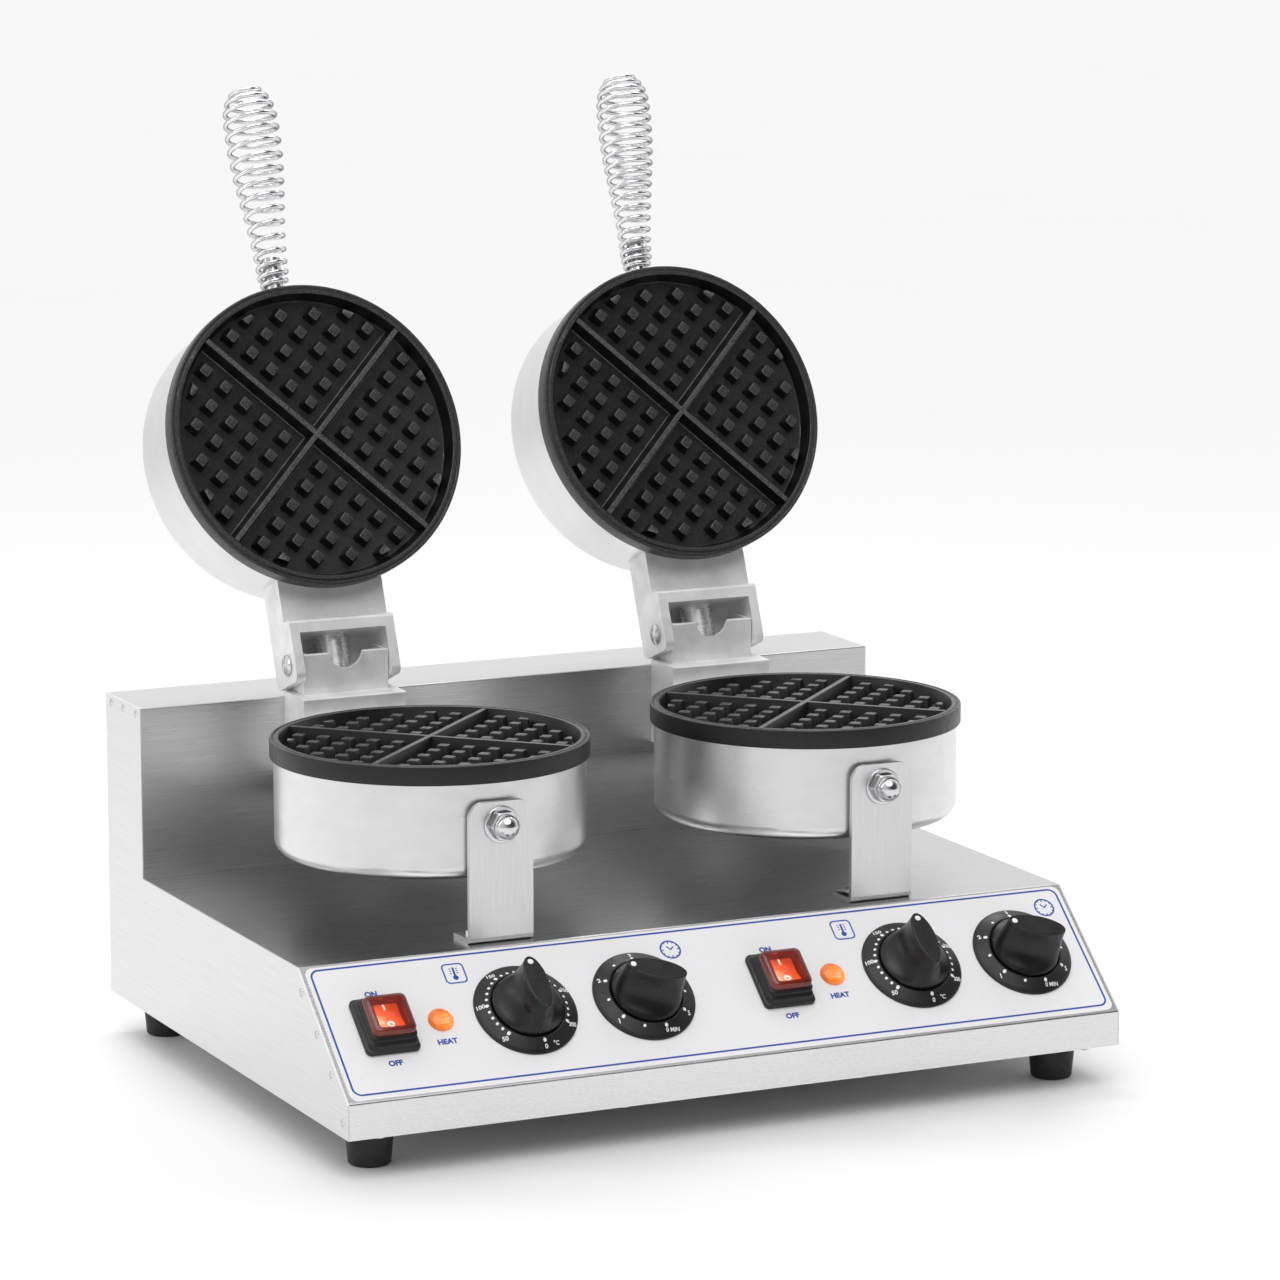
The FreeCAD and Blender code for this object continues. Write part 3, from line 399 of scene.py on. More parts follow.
def lit(name, body, glow, hot, strength, centre, reach, cells=0.0):
    """Coloured plastic lit from behind, hottest at one spot; cells are facets per metre."""
    finish = Finish(name, body, 0.25, Coat_Weight=0.4)
    near = finish.vector_math("DISTANCE", finish.coordinates, centre, "Value")
    fade = finish.spread(near, 1.0, 0.0, 0.0, reach * MM)
    dim = tuple(c * 0.25 for c in glow)
    finish.link(finish.ramp(fade, dim, hot, middle=glow), finish.shader.inputs["Emission Color"])
    pattern = finish.noise(500, 2)
    if cells:
        values = {"Scale": cells, "Randomness": 0.15}
        facets = finish.node("ShaderNodeTexVoronoi", values, distance="CHEBYCHEV")
        finish.link(finish.coordinates, facets.inputs["Vector"])
        pattern = finish.spread(facets.outputs["Distance"], 0.75, 0.15, 0.0, 0.6)
    power = finish.spread(pattern, strength * 0.5, strength * 1.4)
    finish.link(power, finish.shader.inputs["Emission Strength"])
    finish.bump(pattern, 0.15, 0.6)
    return finish.material


def clear_red(name, color, alpha):
    """Tinted silicone, slightly streaked."""
    finish = Finish(name, color, 0.12, Coat_Weight=0.5, Alpha=alpha)
    finish.shades(finish.noise(240, 2), 0.25)
    finish.rough(finish.noise(300, 3), 0.08, 0.2)
    finish.bump(finish.noise(350, 2), 0.03, 0.35)
    return finish.material


def wool():
    finish = Finish("mineral_wool", (0.78, 0.74, 0.64), 0.9)
    fibre = finish.noise(700, 6, (1, 1, 0.2))
    finish.tint(fibre, (0.60, 0.56, 0.47), (0.86, 0.83, 0.74))
    finish.bump(fibre, 0.4, 0.8)
    return finish.material


ALONG_X = (0.012, 1, 1)
ALONG_Y = (1, 0.012, 1)
ALONG_Z = (1, 1, 0.02)
FRONT_STRIP_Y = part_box("console_shell")[0].y + 0.6 * MM  # within the front strip's sheet
deck_steel = two_tone_sheet("deck_steel", (0.56, 0.56, 0.565), (0.86, 0.86, 0.865), 0.27, ALONG_X,
                            FRONT_STRIP_Y)
splash_steel = brushed_sheet("splash_steel", (0.62, 0.62, 0.625), 0.29, ALONG_X).material
side_steel = brushed_sheet("side_steel", (0.74, 0.74, 0.745), 0.44, ALONG_Y).material
rear_steel = brushed_sheet("rear_steel", (0.66, 0.66, 0.665), 0.36, ALONG_X).material
strap_steel = brushed_sheet("strap_steel", (0.80, 0.80, 0.805), 0.36, ALONG_Z).material
casting = cast_metal("hinge_casting", (0.86, 0.86, 0.86), 0.50, 0.45)
chrome = polished("chrome", (0.80, 0.80, 0.81), 0.12)
tube_chrome = cast_metal("tube_steel", (0.84, 0.84, 0.85), 0.26, 0.7)
bright_screw = polished("bright_screw", (0.72, 0.72, 0.73), 0.16)
dull_steel = cast_metal("heater_steel", (0.34, 0.31, 0.29), 0.45)
lower_coating = non_stick("lower_non_stick", lower_head("left"))
upper_coating = non_stick("upper_non_stick", upper_head("left"))
black_plastic = moulded("black_plastic", (0.012, 0.012, 0.013), 0.36)
ring_plastic = moulded("ring_plastic", (0.012, 0.012, 0.013), 0.40, 0.06, 1000)
knob_plastic = moulded("knob_plastic", (0.007, 0.007, 0.008), 0.30, 0.012, 1800)
works_plastic = moulded("works_plastic", (0.60, 0.59, 0.55), 0.45)
gland_nylon = moulded("gland_nylon", (0.02, 0.02, 0.02), 0.4)
film = printed_film()
blue_ink = ink("blue_ink", (0.010, 0.068, 0.38))
white_ink = ink("white_ink", (0.88, 0.88, 0.87))
lit_ink = ink("lit_ink", (0.90, 0.88, 0.85), 0.4, (1.0, 0.85, 0.75))
foot_rubber = rubber()
bezel_red = clear_red("bezel_red", (0.16, 0.010, 0.006), 0.80)
pane_red = clear_red("pane_red", (0.70, 0.05, 0.03), 0.16)
insulation = wool()


# ---------------------------------------------------------------- mesh tools
def add_object(name, data):
    """Put a mesh, curve, light or camera into the scene."""
    added = bpy.data.objects.new(name, data)
    bpy.context.scene.collection.objects.link(added)
    return added


def make_piece(name, mesh_data, place, material, body, stands_for=(), sharp=32.0):
    """Turn a bmesh in millimetres into a piece that rides on a body."""
    bmesh.ops.remove_doubles(mesh_data, verts=mesh_data.verts, dist=0.0005)
    bmesh.ops.recalc_face_normals(mesh_data, faces=mesh_data.faces)
    mesh_data.transform(place)
    mesh = bpy.data.meshes.new(name)
    mesh_data.to_mesh(mesh)
    mesh_data.free()
    mesh.polygons.foreach_set("use_smooth", [True] * len(mesh.polygons))
    mesh.set_sharp_from_angle(angle=math.radians(sharp))
    mesh.materials.append(material)
    piece = add_object(name, mesh)
    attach(piece, body)
    if stands_for:
        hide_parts(*stands_for)
    return piece


def rounded(points, radii, steps=5):
    """Replace the corners of a line of (a, b) points with arcs of the given radii."""
    result = []
    for index, point in enumerate(points):
        radius = radii.get(index, 0.0)
        if radius == 0.0:
            result.append(Vector(point))
            continue
        corner = Vector(point)
        before = (Vector(points[index - 1]) - corner).normalized()
        after = (Vector(points[(index + 1) % len(points)]) - corner).normalized()
        half = before.angle(after) / 2
        reach = radius / math.tan(half)
        middle = corner + (before + after).normalized() * radius / math.sin(half)
        start = corner + before * reach - middle
        end = corner + after * reach - middle
        sweep = start.angle_signed(end)
        for step in range(steps + 1):
            arm = start.copy()
            arm.rotate(Matrix.Rotation(-sweep * step / steps, 2))
            result.append(middle + arm)
    return result


def skin(data, first, second):
    """Quads between two closed rings of vertices."""
    for k in range(len(first)):
        j = (k + 1) % len(first)
        data.faces.new((first[k], first[j], second[j], second[k]))


def loft(data, rings, closed=False):
    """Skin rings with the same number of points: a capped stack, or closed round to the first."""
    made = [[data.verts.new(point) for point in ring] for ring in rings]
    for first, second in zip(made, made[1:] + made[:1] if closed else made[1:]):
        skin(data, first, second)
    if not closed:
        data.faces.new(made[0][::-1])
        data.faces.new(made[-1])


def rounded_rectangle(width, height, corner, z=0.0, steps=6):
    points = []
    for quarter, (sx, sy) in enumerate(((1, 1), (-1, 1), (-1, -1), (1, -1))):
        centre_x, centre_y = sx * (width / 2 - corner), sy * (height / 2 - corner)
        for step in range(steps + 1):
            angle = math.pi / 2 * (quarter + step / steps)
            x = centre_x + corner * math.cos(angle)
            y = centre_y + corner * math.sin(angle)
            points.append(Vector((x, y, z)))
    return points


def circle_points(radius, z=0.0, count=48, centre=(0, 0)):
    angles = [2 * math.pi * k / count for k in range(count)]
    return [Vector((centre[0] + radius * math.cos(a), centre[1] + radius * math.sin(a), z)) for a in angles]


def lathe(data, profile, segments=128):
    """Turn a closed (r, z) profile about Z."""
    loft(data, [circle_points(r, z, segments) for r, z in profile], closed=True)


def slab(data, outline, low=PRINT_LOW, high=PRINT_HIGH):
    """A flat-topped solid over a closed outline, a line of print by default."""
    loft(data, [[Vector((p.x, p.y, low)) for p in outline], [Vector((p.x, p.y, high)) for p in outline]])


def frame_slab(data, outer, inner, low=PRINT_LOW, high=PRINT_HIGH):
    """A flat ring between two outlines with the same number of points."""
    levels = ((outer, low), (outer, high), (inner, high), (inner, low))
    loft(data, [[Vector((p.x, p.y, z)) for p in outline] for outline, z in levels], closed=True)


def hexagon(data, across_flats, levels, centre=(0, 0, 0)):
    """Hexagonal head through (share of the width, z) levels, each corner broken with a small flat."""
    corner = across_flats / math.sqrt(3) * 0.985
    points = []
    for k in range(6):
        for shift in (-0.06, 0.06):
            angle = math.pi / 3 * k + shift
            points.append(Vector((corner * math.cos(angle), corner * math.sin(angle), 0)))
    middle = Vector(centre)
    loft(data, [[middle + p * share + Vector((0, 0, z)) for p in points] for share, z in levels])


def stroke(data, start, end, width, low=PRINT_LOW, high=PRINT_HIGH):
    """A straight line of print with square ends."""
    start, end = Vector(start), Vector(end)
    along = (end - start).normalized()
    across = Vector((-along.y, along.x)) * width / 2
    slab(data, [start - across, end - across, end + across, start + across], low, high)


def letters(data, text, size, place, weight, depth=0.05):
    """Add upright lettering, centred on its place, in millimetres."""
    curve = bpy.data.curves.new("letters", "FONT")
    curve.body = text
    curve.size = size
    curve.align_x = "CENTER"
    curve.align_y = "CENTER"
    curve.extrude = depth / 2
    curve.offset = weight
    curve.resolution_u = 4
    holder = add_object("letters", curve)
    bpy.context.view_layer.update()
    mesh = bpy.data.meshes.new_from_object(holder)
    mesh.transform(place)
    data.from_mesh(mesh)
    bpy.data.meshes.remove(mesh)
    bpy.data.objects.remove(holder)
    bpy.data.curves.remove(curve)


def softened_copy(node, body, material, width):
    """The CAD node's own shape with its edges broken, standing for that node."""
    source = NODES[node]
    data = bmesh.new()
    data.from_mesh(source.data)
    bmesh.ops.remove_doubles(data, verts=data.verts, dist=0.00001)
    bmesh.ops.dissolve_limit(data, angle_limit=math.radians(0.6), verts=data.verts, edges=data.edges)
    edges = [e for e in data.edges if len(e.link_faces) == 2 and e.calc_face_angle(0) > math.radians(30)]
    bmesh.ops.bevel(
        data, geom=edges, offset=width * MM, offset_type="OFFSET", segments=2,
        profile=0.5, affect="EDGES", clamp_overlap=True, harden_normals=False,
    )
    return make_piece(node + "_finished", data, Matrix.Identity(4), material, body, (node,), sharp=18.0)


# ---------------------------------------------------------------- baking plates
def plate_profile():
    points = [
        (0, -PLATE_BACK), (88.0, -PLATE_BACK), (91.5, -16.0), (91.5, -RIM_H), (PLATE_R, -RIM_H),
        (PLATE_R, 0), (94.1, 0), (93.2, -0.9), (92.3, 0), (CAVITY_R, 0),
        (CAVITY_FLOOR_R, -CAVITY_DEPTH), (0, -CAVITY_DEPTH),
    ]
    return rounded(points, {4: 0.6, 5: 0.9, 6: 0.25, 7: 0.3, 8: 0.25, 9: 0.6, 10: 1.2})


def ridge(data, angle, top=-0.35):
    """Dividing ridge with rounded shoulders and a fillet at its foot."""
    half = rounded([(5.2, -CAVITY_DEPTH - 0.4), (3.4, -CAVITY_DEPTH + 0.2), (1.6, top), (0, top)],
                   {1: 1.0, 2: 0.35})
    section = [(-a, b) for a, b in half] + [(a, b) for a, b in reversed(half)]
    turn = Matrix.Rotation(math.radians(angle), 3, "Z")
    rings = []
    for x in (-89.4, 89.4):
        rings.append([turn @ Vector((x, a, b)) for a, b in section])
    loft(data, rings)


def peg(data, x, y, spin):
    """Square peg, tapered, with rounded edges."""
    turn = Matrix.Rotation(math.radians(spin), 3, "Z")
    foot_z = -CAVITY_DEPTH
    top_z = foot_z + PEG_H
    levels = [(10.6, 1.2, foot_z - 0.3), (9.5, 1.2, foot_z + 0.15), (9.0, 1.1, foot_z + 0.9),
              (6.6, 0.9, top_z - 0.55), (6.35, 0.9, top_z - 0.25), (5.9, 0.8, top_z - 0.06),
              (5.3, 0.7, top_z)]
    centre = Vector((x, y, 0))
    part = bmesh.new()
    rings = []
    for side, corner, z in levels:
        rings.append([centre + p for p in rounded_rectangle(side, side, corner, z, steps=3)])
    loft(part, rings)
    if centre.length > PEG_LIMIT_R - PEG_HALF:
        outward = centre.normalized()
        everything = part.verts[:] + part.edges[:] + part.faces[:]
        bmesh.ops.bisect_plane(part, geom=everything, plane_co=outward * PEG_LIMIT_R, plane_no=outward,
                               clear_outer=True)
        bmesh.ops.holes_fill(part, edges=part.edges)
    part.transform(turn.to_4x4())
    mesh = bpy.data.meshes.new("peg")
    part.to_mesh(mesh)
    part.free()
    data.from_mesh(mesh)
    bpy.data.meshes.remove(mesh)


def baking_plate():
    """Round casting with a cross of ridges and four quarters of pegs."""
    data = bmesh.new()
    lathe(data, plate_profile(), 160)
    ridge(data, 45)
    ridge(data, 135, -0.38)  # a hair lower, so that the crossing tops don't coincide
    for i in range(5):
        for j in range(5):
            x, y = PEG_FIRST + i * PEG_PITCH, PEG_FIRST + j * PEG_PITCH
            if i + j > 5 or math.hypot(x, y) > CAVITY_R - 4:
                continue
            for quarter in range(4):
                peg(data, x, y, 45 + 90 * quarter)
    return data


def build_plates():
    for side in SIDES:
        for node, place, coating, body in (
            (side + "_lower_plate", lower_head(side), lower_coating, "console"),
            (side + "_upper_plate", upper_head(side), upper_coating, side + "_lid"),
        ):
            make_piece(node + "_casting", baking_plate(), place, coating, body,
                       (node,), sharp=PLATE_SHARP_DEG)


# ---------------------------------------------------------------- handles
def coil_radius(s):
    """Radius of the wire's middle line: tight neck, slow swell, blunt rounded end."""
    swell = 8.9 + 7.7 * math.sin(min(s / 0.76, 1.0) * math.pi / 2) ** 2.4
    swell -= 1.7 * max(0.0, 1 - s / 0.06)
    if s > 0.76:
        swell -= 8.2 * ((s - 0.76) / 0.24) ** 4
    return swell


def coil_advance(t):
    """Share of the handle's length passed after a share t of the turns."""
    return t - 0.040 * math.sin(2 * math.pi * t) - 0.012 * math.sin(4 * math.pi * t)


def handle_coil(side):
    """One wire wound into the air-cooled grip."""
    turns = HANDLE_TURNS[side]
    steps = turns * COIL_POINTS
    place = handle_frame(side)
    curve = bpy.data.curves.new(side + "_handle_spring", "CURVE")
    curve.dimensions = "3D"
    curve.bevel_depth = WIRE_R * MM
    curve.bevel_resolution = 4
    curve.resolution_u = 2
    curve.use_fill_caps = True
    spline = curve.splines.new("NURBS")
    spline.points.add(steps)
    for k in range(steps + 1):
        t = k / steps
        s = coil_advance(t)
        angle = 2 * math.pi * turns * t
        radius = coil_radius(s)
        point = place @ Vector((radius * math.cos(angle), -COIL_LEN * s, radius * math.sin(angle)))
        spline.points[k].co = (*point, 1)
    spline.order_u = 4
    spline.use_endpoint_u = True
    curve.materials.append(chrome)
    piece = add_object(side + "_handle_spring", curve)
    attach(piece, side + "_lid")
    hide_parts(side + "_handle_coil")


# ---------------------------------------------------------------- dials and knobs
LIP_R = 23.2  # inner, high edge of a ring's cone
LIP_H = 5.6
CONE_FOOT_R = 29.6
CONE_FOOT_H = 2.7
RING_PROFILE = [(6.0, 0.4), (31.2, 0.4), (31.2, 1.7), (CONE_FOOT_R, CONE_FOOT_H), (LIP_R, LIP_H),
                (22.4, LIP_H), (22.4, 1.4), (6.0, 1.4)]
CONE_SLOPE = math.atan2(LIP_H - CONE_FOOT_H, CONE_FOOT_R - LIP_R)
DOT_R = 24.6  # dots of the two scales from the dial's middle
NUMBER_R = 28.2


def cone_place(clock, radius, lift=0.03):
    """Spot on a ring's cone at an angle clockwise from straight down, in millimetres."""
    out = Vector((-math.sin(math.radians(clock)), -math.cos(math.radians(clock)), 0))
    tangent = Vector((0, 0, 1)).cross(out)
    height = LIP_H - (radius - LIP_R) * math.tan(CONE_SLOPE) + lift
    lean = Matrix.Rotation(CONE_SLOPE, 4, tangent)
    return Matrix.Translation(out * radius + Vector((0, 0, height))) @ lean


def scale_dot(data, clock, radius, width, length):
    """Oval mark pointing at the middle of the dial."""
    spin = Matrix.Rotation(math.radians(-clock), 4, "Z")
    place = cone_place(clock, radius) @ spin
    rings = []
    for share, z in ((1.0, -0.05), (1.0, 0.02), (0.75, 0.06)):
        rings.append([place @ Vector((p.x * width / 2 * share, p.y * length / 2 * share, z))
                      for p in circle_points(1.0, 0, 20)])
    loft(data, rings)


def build_rings():
    for side in SIDES:
        for control in ("thermostat", "timer"):
            data = bmesh.new()
            lathe(data, rounded(RING_PROFILE, {2: 0.5, 3: 1.2, 4: 0.35}), 128)
            stands_for = ("dial_rings",) if (side, control) == ("left", "thermostat") else ()
            make_piece(f"{side}_{control}_ring", data, on_panel(control_x(side, control)), ring_plastic,
                       "console", stands_for)


def print_scale(side, control, data):
    make_piece(f"{side}_{control}_scale", data, on_panel(control_x(side, control)), white_ink,
               "console")


def thermostat_scale(side):
    """Degrees Celsius from 0 to 300, a dot for every ten above 50."""
    data = bmesh.new()
    marks = {50 * step: -6 + 51.5 * step for step in range(7)}
    values = sorted(marks)
    for low, high in zip(values[1:], values[2:]):
        for tenth in range(1, 5):
            clock = marks[low] + (marks[high] - marks[low]) * tenth / 5
            scale_dot(data, clock, DOT_R - 0.2, 1.8, 1.8)
    for value, clock in marks.items():
        scale_dot(data, clock, DOT_R, 2.1, 2.5)
        letters(data, str(value), 3.8, cone_place(clock, NUMBER_R), 0.09)
    letters(data, "°C", 3.6, cone_place(-20, NUMBER_R), 0.07)
    print_scale(side, "thermostat", data)


def timer_scale(side):
    """Minutes from 0 to 5, a dot for every half minute."""
    data = bmesh.new()
    for half in range(11):
        clock = -10.6 + 31.8 * half
        whole = half % 2 == 0
        scale_dot(data, clock, DOT_R, 2.1 if whole else 1.7, 2.5 if whole else 1.9)
        if whole and half:
            letters(data, str(half // 2), 4.2, cone_place(clock, NUMBER_R - 0.2), 0.10)
    letters(data, "0 MIN", 3.6, cone_place(-17, NUMBER_R), 0.07)
    print_scale(side, "timer", data)


KNOB_TOP = 28.8
SKIRT_TOP = 7.5  # the knob is round below this height


def knob_ring(height, grow=0.0, count=72):
    """Outline of the knob at a height: a round skirt that flares in to a narrow wing."""
    t = min(max((height - SKIRT_TOP) / (KNOB_TOP - SKIRT_TOP), 0.0), 1.0)
    half_wide = 6.9 + 14.4 * (1 - t) ** 3.6
    half_long = 18.2 + 3.1 * (1 - t) ** 1.5
    return [Vector((p.x * (half_wide + grow), p.y * (half_long + grow), height))
            for p in circle_points(1.0, 0, count)]


def knob_mesh():
    """Wing knob with a broken top edge, and its spindle down through the panel."""
    data = bmesh.new()
    flare = (5.0, 7.0, 8.0, 9.0, 10.0, 11.2, 12.6, 14.2, 16.2, 18.6, 21.4, 24.4, 27.2)
    rings = [knob_ring(2.0, -1.2), knob_ring(2.2, -0.4), knob_ring(2.8, 0.0)]
    rings += [knob_ring(height) for height in flare]
    rings += [knob_ring(h, g) for h, g in ((28.2, -0.05), (28.6, -0.25), (KNOB_TOP, -0.6))]
    top = knob_ring(KNOB_TOP, -1.0)
    rings += [top, [Vector((p.x * 0.97, p.y * 0.985, KNOB_TOP - 0.2)) for p in top]]
    loft(data, rings)
    lathe(data, [(0, -20.8), (3.0, -20.8), (3.0, 3.0), (0, 3.0)], 32)
    return data


def knob_dot():
    """White spot let into the wing's pointing end."""
    data = bmesh.new()
    levels = ((1.75, -0.5), (1.75, -0.12), (1.4, 0.05), (0.7, 0.12))
    loft(data, [circle_points(r, KNOB_TOP + lift, 32, (0, 14.2)) for r, lift in levels])
    return data


def build_knobs():
    for side in SIDES:
        for control, twist in (("thermostat", 0.0), ("timer", TIMER_REST)):
            place = on_panel(control_x(side, control), twist=twist)
            body = side + "_" + control
            make_piece(body + "_wing_knob", knob_mesh(), place, knob_plastic, body,
                       (body + "_knob",))
            make_piece(body + "_knob_dot", knob_dot(), place, white_ink, body)


# ---------------------------------------------------------------- switches and lamps
def switch_frame():
    """Stepped black frame with a soft boot's folds, open in the middle."""
    data = bmesh.new()
    outer = [(33.0, 38.0, 3.2, 0.4), (33.4, 38.4, 3.4, 1.2), (33.4, 38.4, 3.4, 2.6), (32.6, 37.6, 3.2, 3.3),
             (30.6, 35.4, 3.2, 3.6), (29.8, 34.4, 3.2, 4.2), (29.4, 33.4, 3.4, 6.2), (28.6, 31.6, 3.4, 6.9),
             (27.4, 29.6, 3.2, 7.2), (27.0, 29.0, 3.2, 7.8), (28.2, 30.0, 3.4, 8.6), (28.4, 30.0, 3.4, 9.3),
             (27.2, 28.6, 3.2, 10.0), (26.2, 27.0, 3.0, 10.3)]
    inner = [(22.6, 24.0, 2.0, 10.3), (22.0, 25.6, 2.0, 3.4), (21.6, 25.4, 1.5, 0.6)]
    loft(data, [rounded_rectangle(*level) for level in outer + inner])
    return data


WINDOW_W = 18.4  # window of the boot's cap
WINDOW_H = 20.4
ROCKER_PIVOT_H = 2.0  # pivot above the panel
ROCKER_REST_DEG = 8.0  # the rocker rests pressed in at its upper end


def switch_bezel():
    """Moulded rim of the boot's cap, open over the rocker."""
    data = bmesh.new()
    outline = [(26.0, 26.4, 3.2, 9.8), (26.4, 26.8, 3.4, 11.2), (26.2, 26.4, 3.4, 13.2),
               (25.6, 25.8, 3.4, 14.2), (24.4, 24.6, 3.2, 14.9), (23.0, 23.2, 3.0, 15.15),
               (WINDOW_W, WINDOW_H, 2.0, 15.2), (WINDOW_W, WINDOW_H, 2.0, 13.6),
               (21.8, 22.2, 2.2, 13.0), (23.4, 24.0, 2.6, 9.8)]
    loft(data, [rounded_rectangle(*level) for level in outline], closed=True)
    return data


def switch_pane():
    """Clear pane set in the bezel, crowned in the middle."""
    data = bmesh.new()
    outline = [(WINDOW_W - 0.1, WINDOW_H - 0.1, 1.9, 13.9), (WINDOW_W - 0.1, WINDOW_H - 0.1, 1.9, 15.0),
               (WINDOW_W - 1.4, WINDOW_H - 1.4, 1.6, 15.25), (WINDOW_W / 2, WINDOW_H / 2, 1.0, 15.4)]
    loft(data, [rounded_rectangle(*level) for level in outline])
    return data


def rocker_key():
    """Rocker with two dished faces, drawn level about its pivot."""
    data = bmesh.new()
    outline = rounded([(-9.4, 1.0), (-9.8, 10.0), (0, 8.4), (9.8, 10.0), (9.4, 1.0), (0, -2.0)],
                      {1: 1.2, 2: 14.0, 3: 1.2, 0: 0.6, 4: 0.6})
    rings = []
    for x, share in ((-8.7, 0.94), (-8.4, 0.985), (-7.9, 1.0), (7.9, 1.0), (8.4, 0.985), (8.7, 0.94)):
        rings.append([Vector((x, a * share, 4.0 + (b - 4.0) * share)) for a, b in outline])
    loft(data, rings)
    return data


def rocker_marks():
    """The generic line and circle of a power switch."""
    data = bmesh.new()
    stroke(data, (0, 5.0), (0, 8.6), 0.9, 9.2, 10.1)
    outer, inner = [circle_points(radius, 0, 32, (0, -6.4)) for radius in (2.1, 1.2)]
    frame_slab(data, outer, inner, 9.0, 10.0)
    return data


def build_switches():
    for side in SIDES:
        place = on_panel(switch_x(side))
        make_piece(side + "_switch_boot", switch_frame(), place, black_plastic, "console",
                   (side + "_switch_body",))
        make_piece(side + "_switch_bezel", switch_bezel(), place, bezel_red, "console",
                   (side + "_switch_cover",))
        make_piece(side + "_switch_pane", switch_pane(), place, pane_red, "console")
        pivot = Vector((0, 0, ROCKER_PIVOT_H))
        tilt = Matrix.Rotation(math.radians(-ROCKER_REST_DEG), 4, "X")
        place = place @ Matrix.Translation(pivot) @ tilt @ Matrix.Translation(-pivot)
        hot_spot = place @ Vector((-6.0, -4.5, 8.6))
        glow = lit(side + "_rocker_glow", (0.75, 0.07, 0.02), (1.0, 0.13, 0.025), (1.0, 0.75, 0.42), 1.15,
                   hot_spot, 15.0)
        make_piece(side + "_rocker_key", rocker_key(), place, glow, side + "_rocker",
                   (side + "_switch_rocker",))
        make_piece(side + "_rocker_marks", rocker_marks(), place, lit_ink, side + "_rocker")


LENS_R = 7.6
LENS_SIDES = 18


def lamp_lens():
    """Domed lens cut into small facets."""
    data = bmesh.new()
    levels = [(LENS_R, 0.4), (LENS_R, 1.2)]
    for step in range(1, 6):
        angle = math.radians(17 * step)
        levels.append((LENS_R * math.cos(angle), 1.2 + 3.4 * math.sin(angle)))
    made = []
    for index, (radius, z) in enumerate(levels):
        turn = Matrix.Rotation(math.pi / LENS_SIDES * (index % 2), 3, "Z")
        made.append([data.verts.new(turn @ p) for p in circle_points(radius, z, LENS_SIDES)])
    for index, (first, second) in enumerate(zip(made, made[1:])):
        for k in range(LENS_SIDES):
            j = (k + 1) % LENS_SIDES
            if index % 2 == 0:
                data.faces.new((first[k], first[j], second[k]))
                data.faces.new((first[j], second[j], second[k]))
            else:
                data.faces.new((first[k], first[j], second[j]))
                data.faces.new((first[k], second[j], second[k]))
    data.faces.new(made[0][::-1])
    data.faces.new(made[-1])
    return data


def build_lamps():
    for side in SIDES:
        place = on_panel(switch_x(side) + LAMP_DX)
        glow = lit(side + "_lamp_glow", (0.80, 0.16, 0.012), (0.95, 0.26, 0.015), (1.0, 0.85, 0.45), 0.75,
                   place @ Vector((2.6, -3.0, 4.0)), 9.0, cells=620.0)
        stands_for = ("heat_lamps",) if side == "left" else ()
        make_piece(side + "_lamp_lens", lamp_lens(), place, glow, "console", stands_for,
                   sharp=4.0)


# ---------------------------------------------------------------- print on the panel
BORDER_V = -0.25  # middle of the blue border above the controls' row


def clock_icon(data, x, v):
    outer, inner = [circle_points(radius, 0, 48, (x, v)) for radius in (6.6, 5.6)]
    frame_slab(data, outer, inner)
    for hour in range(12):
        angle = math.radians(30 * hour)
        out = Vector((math.sin(angle), math.cos(angle)))
        tick_from = Vector((x, v)) + out * (4.3 if hour % 3 == 0 else 4.9)
        stroke(data, tick_from, Vector((x, v)) + out * 5.9, 0.7)
    stroke(data, (x - 0.2, v - 0.3), (x + 2.6, v + 2.0), 0.8)
    stroke(data, (x + 0.3, v - 0.2), (x - 1.9, v + 2.6), 0.8)


def border(data, x, v, *sizes):
    """A line of print between two rounded rectangles, each a width, a height and a corner."""
    shift = Vector((x, v, 0))
    frame_slab(data, *[[p + shift for p in rounded_rectangle(*size)] for size in sizes])


def thermometer_icon(data, x, v):
    border(data, x, v, (13.8, 14.2, 3.0), (12.0, 12.4, 2.2))
    slab(data, circle_points(1.7, 0, 24, (x, v - 3.0)))
    stroke(data, (x, v - 3.0), (x, v + 4.2), 1.3, PRINT_LOW, PRINT_HIGH + 0.004)
    for level in (0.2, 1.8, 3.4):
        for start, end in ((-1.4, -2.6), (1.4, 2.6)):
            stroke(data, (x + start, v + level), (x + end, v + level), 0.6)


def build_print():
    """Blue border, icons and the generic ON, OFF and HEAT of the panel."""
    data = bmesh.new()
    border(data, 0, BORDER_V, (489.2, 88.9, 5.6), (486.8, 86.5, 4.4))
    for side in SIDES:
        x = switch_x(side)
        spots = (("ON", -0.6, 23.1), ("OFF", -1.0, -25.4), ("HEAT", LAMP_DX - 0.4, -15.0))
        for text, dx, dv in spots:
            place = Matrix.Translation((x + dx, dv, (PRINT_LOW + PRINT_HIGH) / 2))
            letters(data, text, 4.9, place, 0.24, PRINT_HIGH - PRINT_LOW)
        thermometer_icon(data, x + 54.0, 31.2)
        clock_icon(data, x + 192.0, 30.9)
    make_piece("panel_print", data, on_panel(0.0), blue_ink, "console")


# ---------------------------------------------------------------- CAD nodes that keep their shape
STRAP_NUT_DROP = 14.0  # nut's axis below the top of the strap
STRAP_T = 3.0
STRAP_BOLT_DX = 13.0


def give(material, *nodes):
    """Dress CAD nodes in one material."""
    for node in nodes:
        slots = NODES[node].material_slots
        if not slots:
            NODES[node].data.materials.append(material)
        for slot in slots:
            slot.material = material


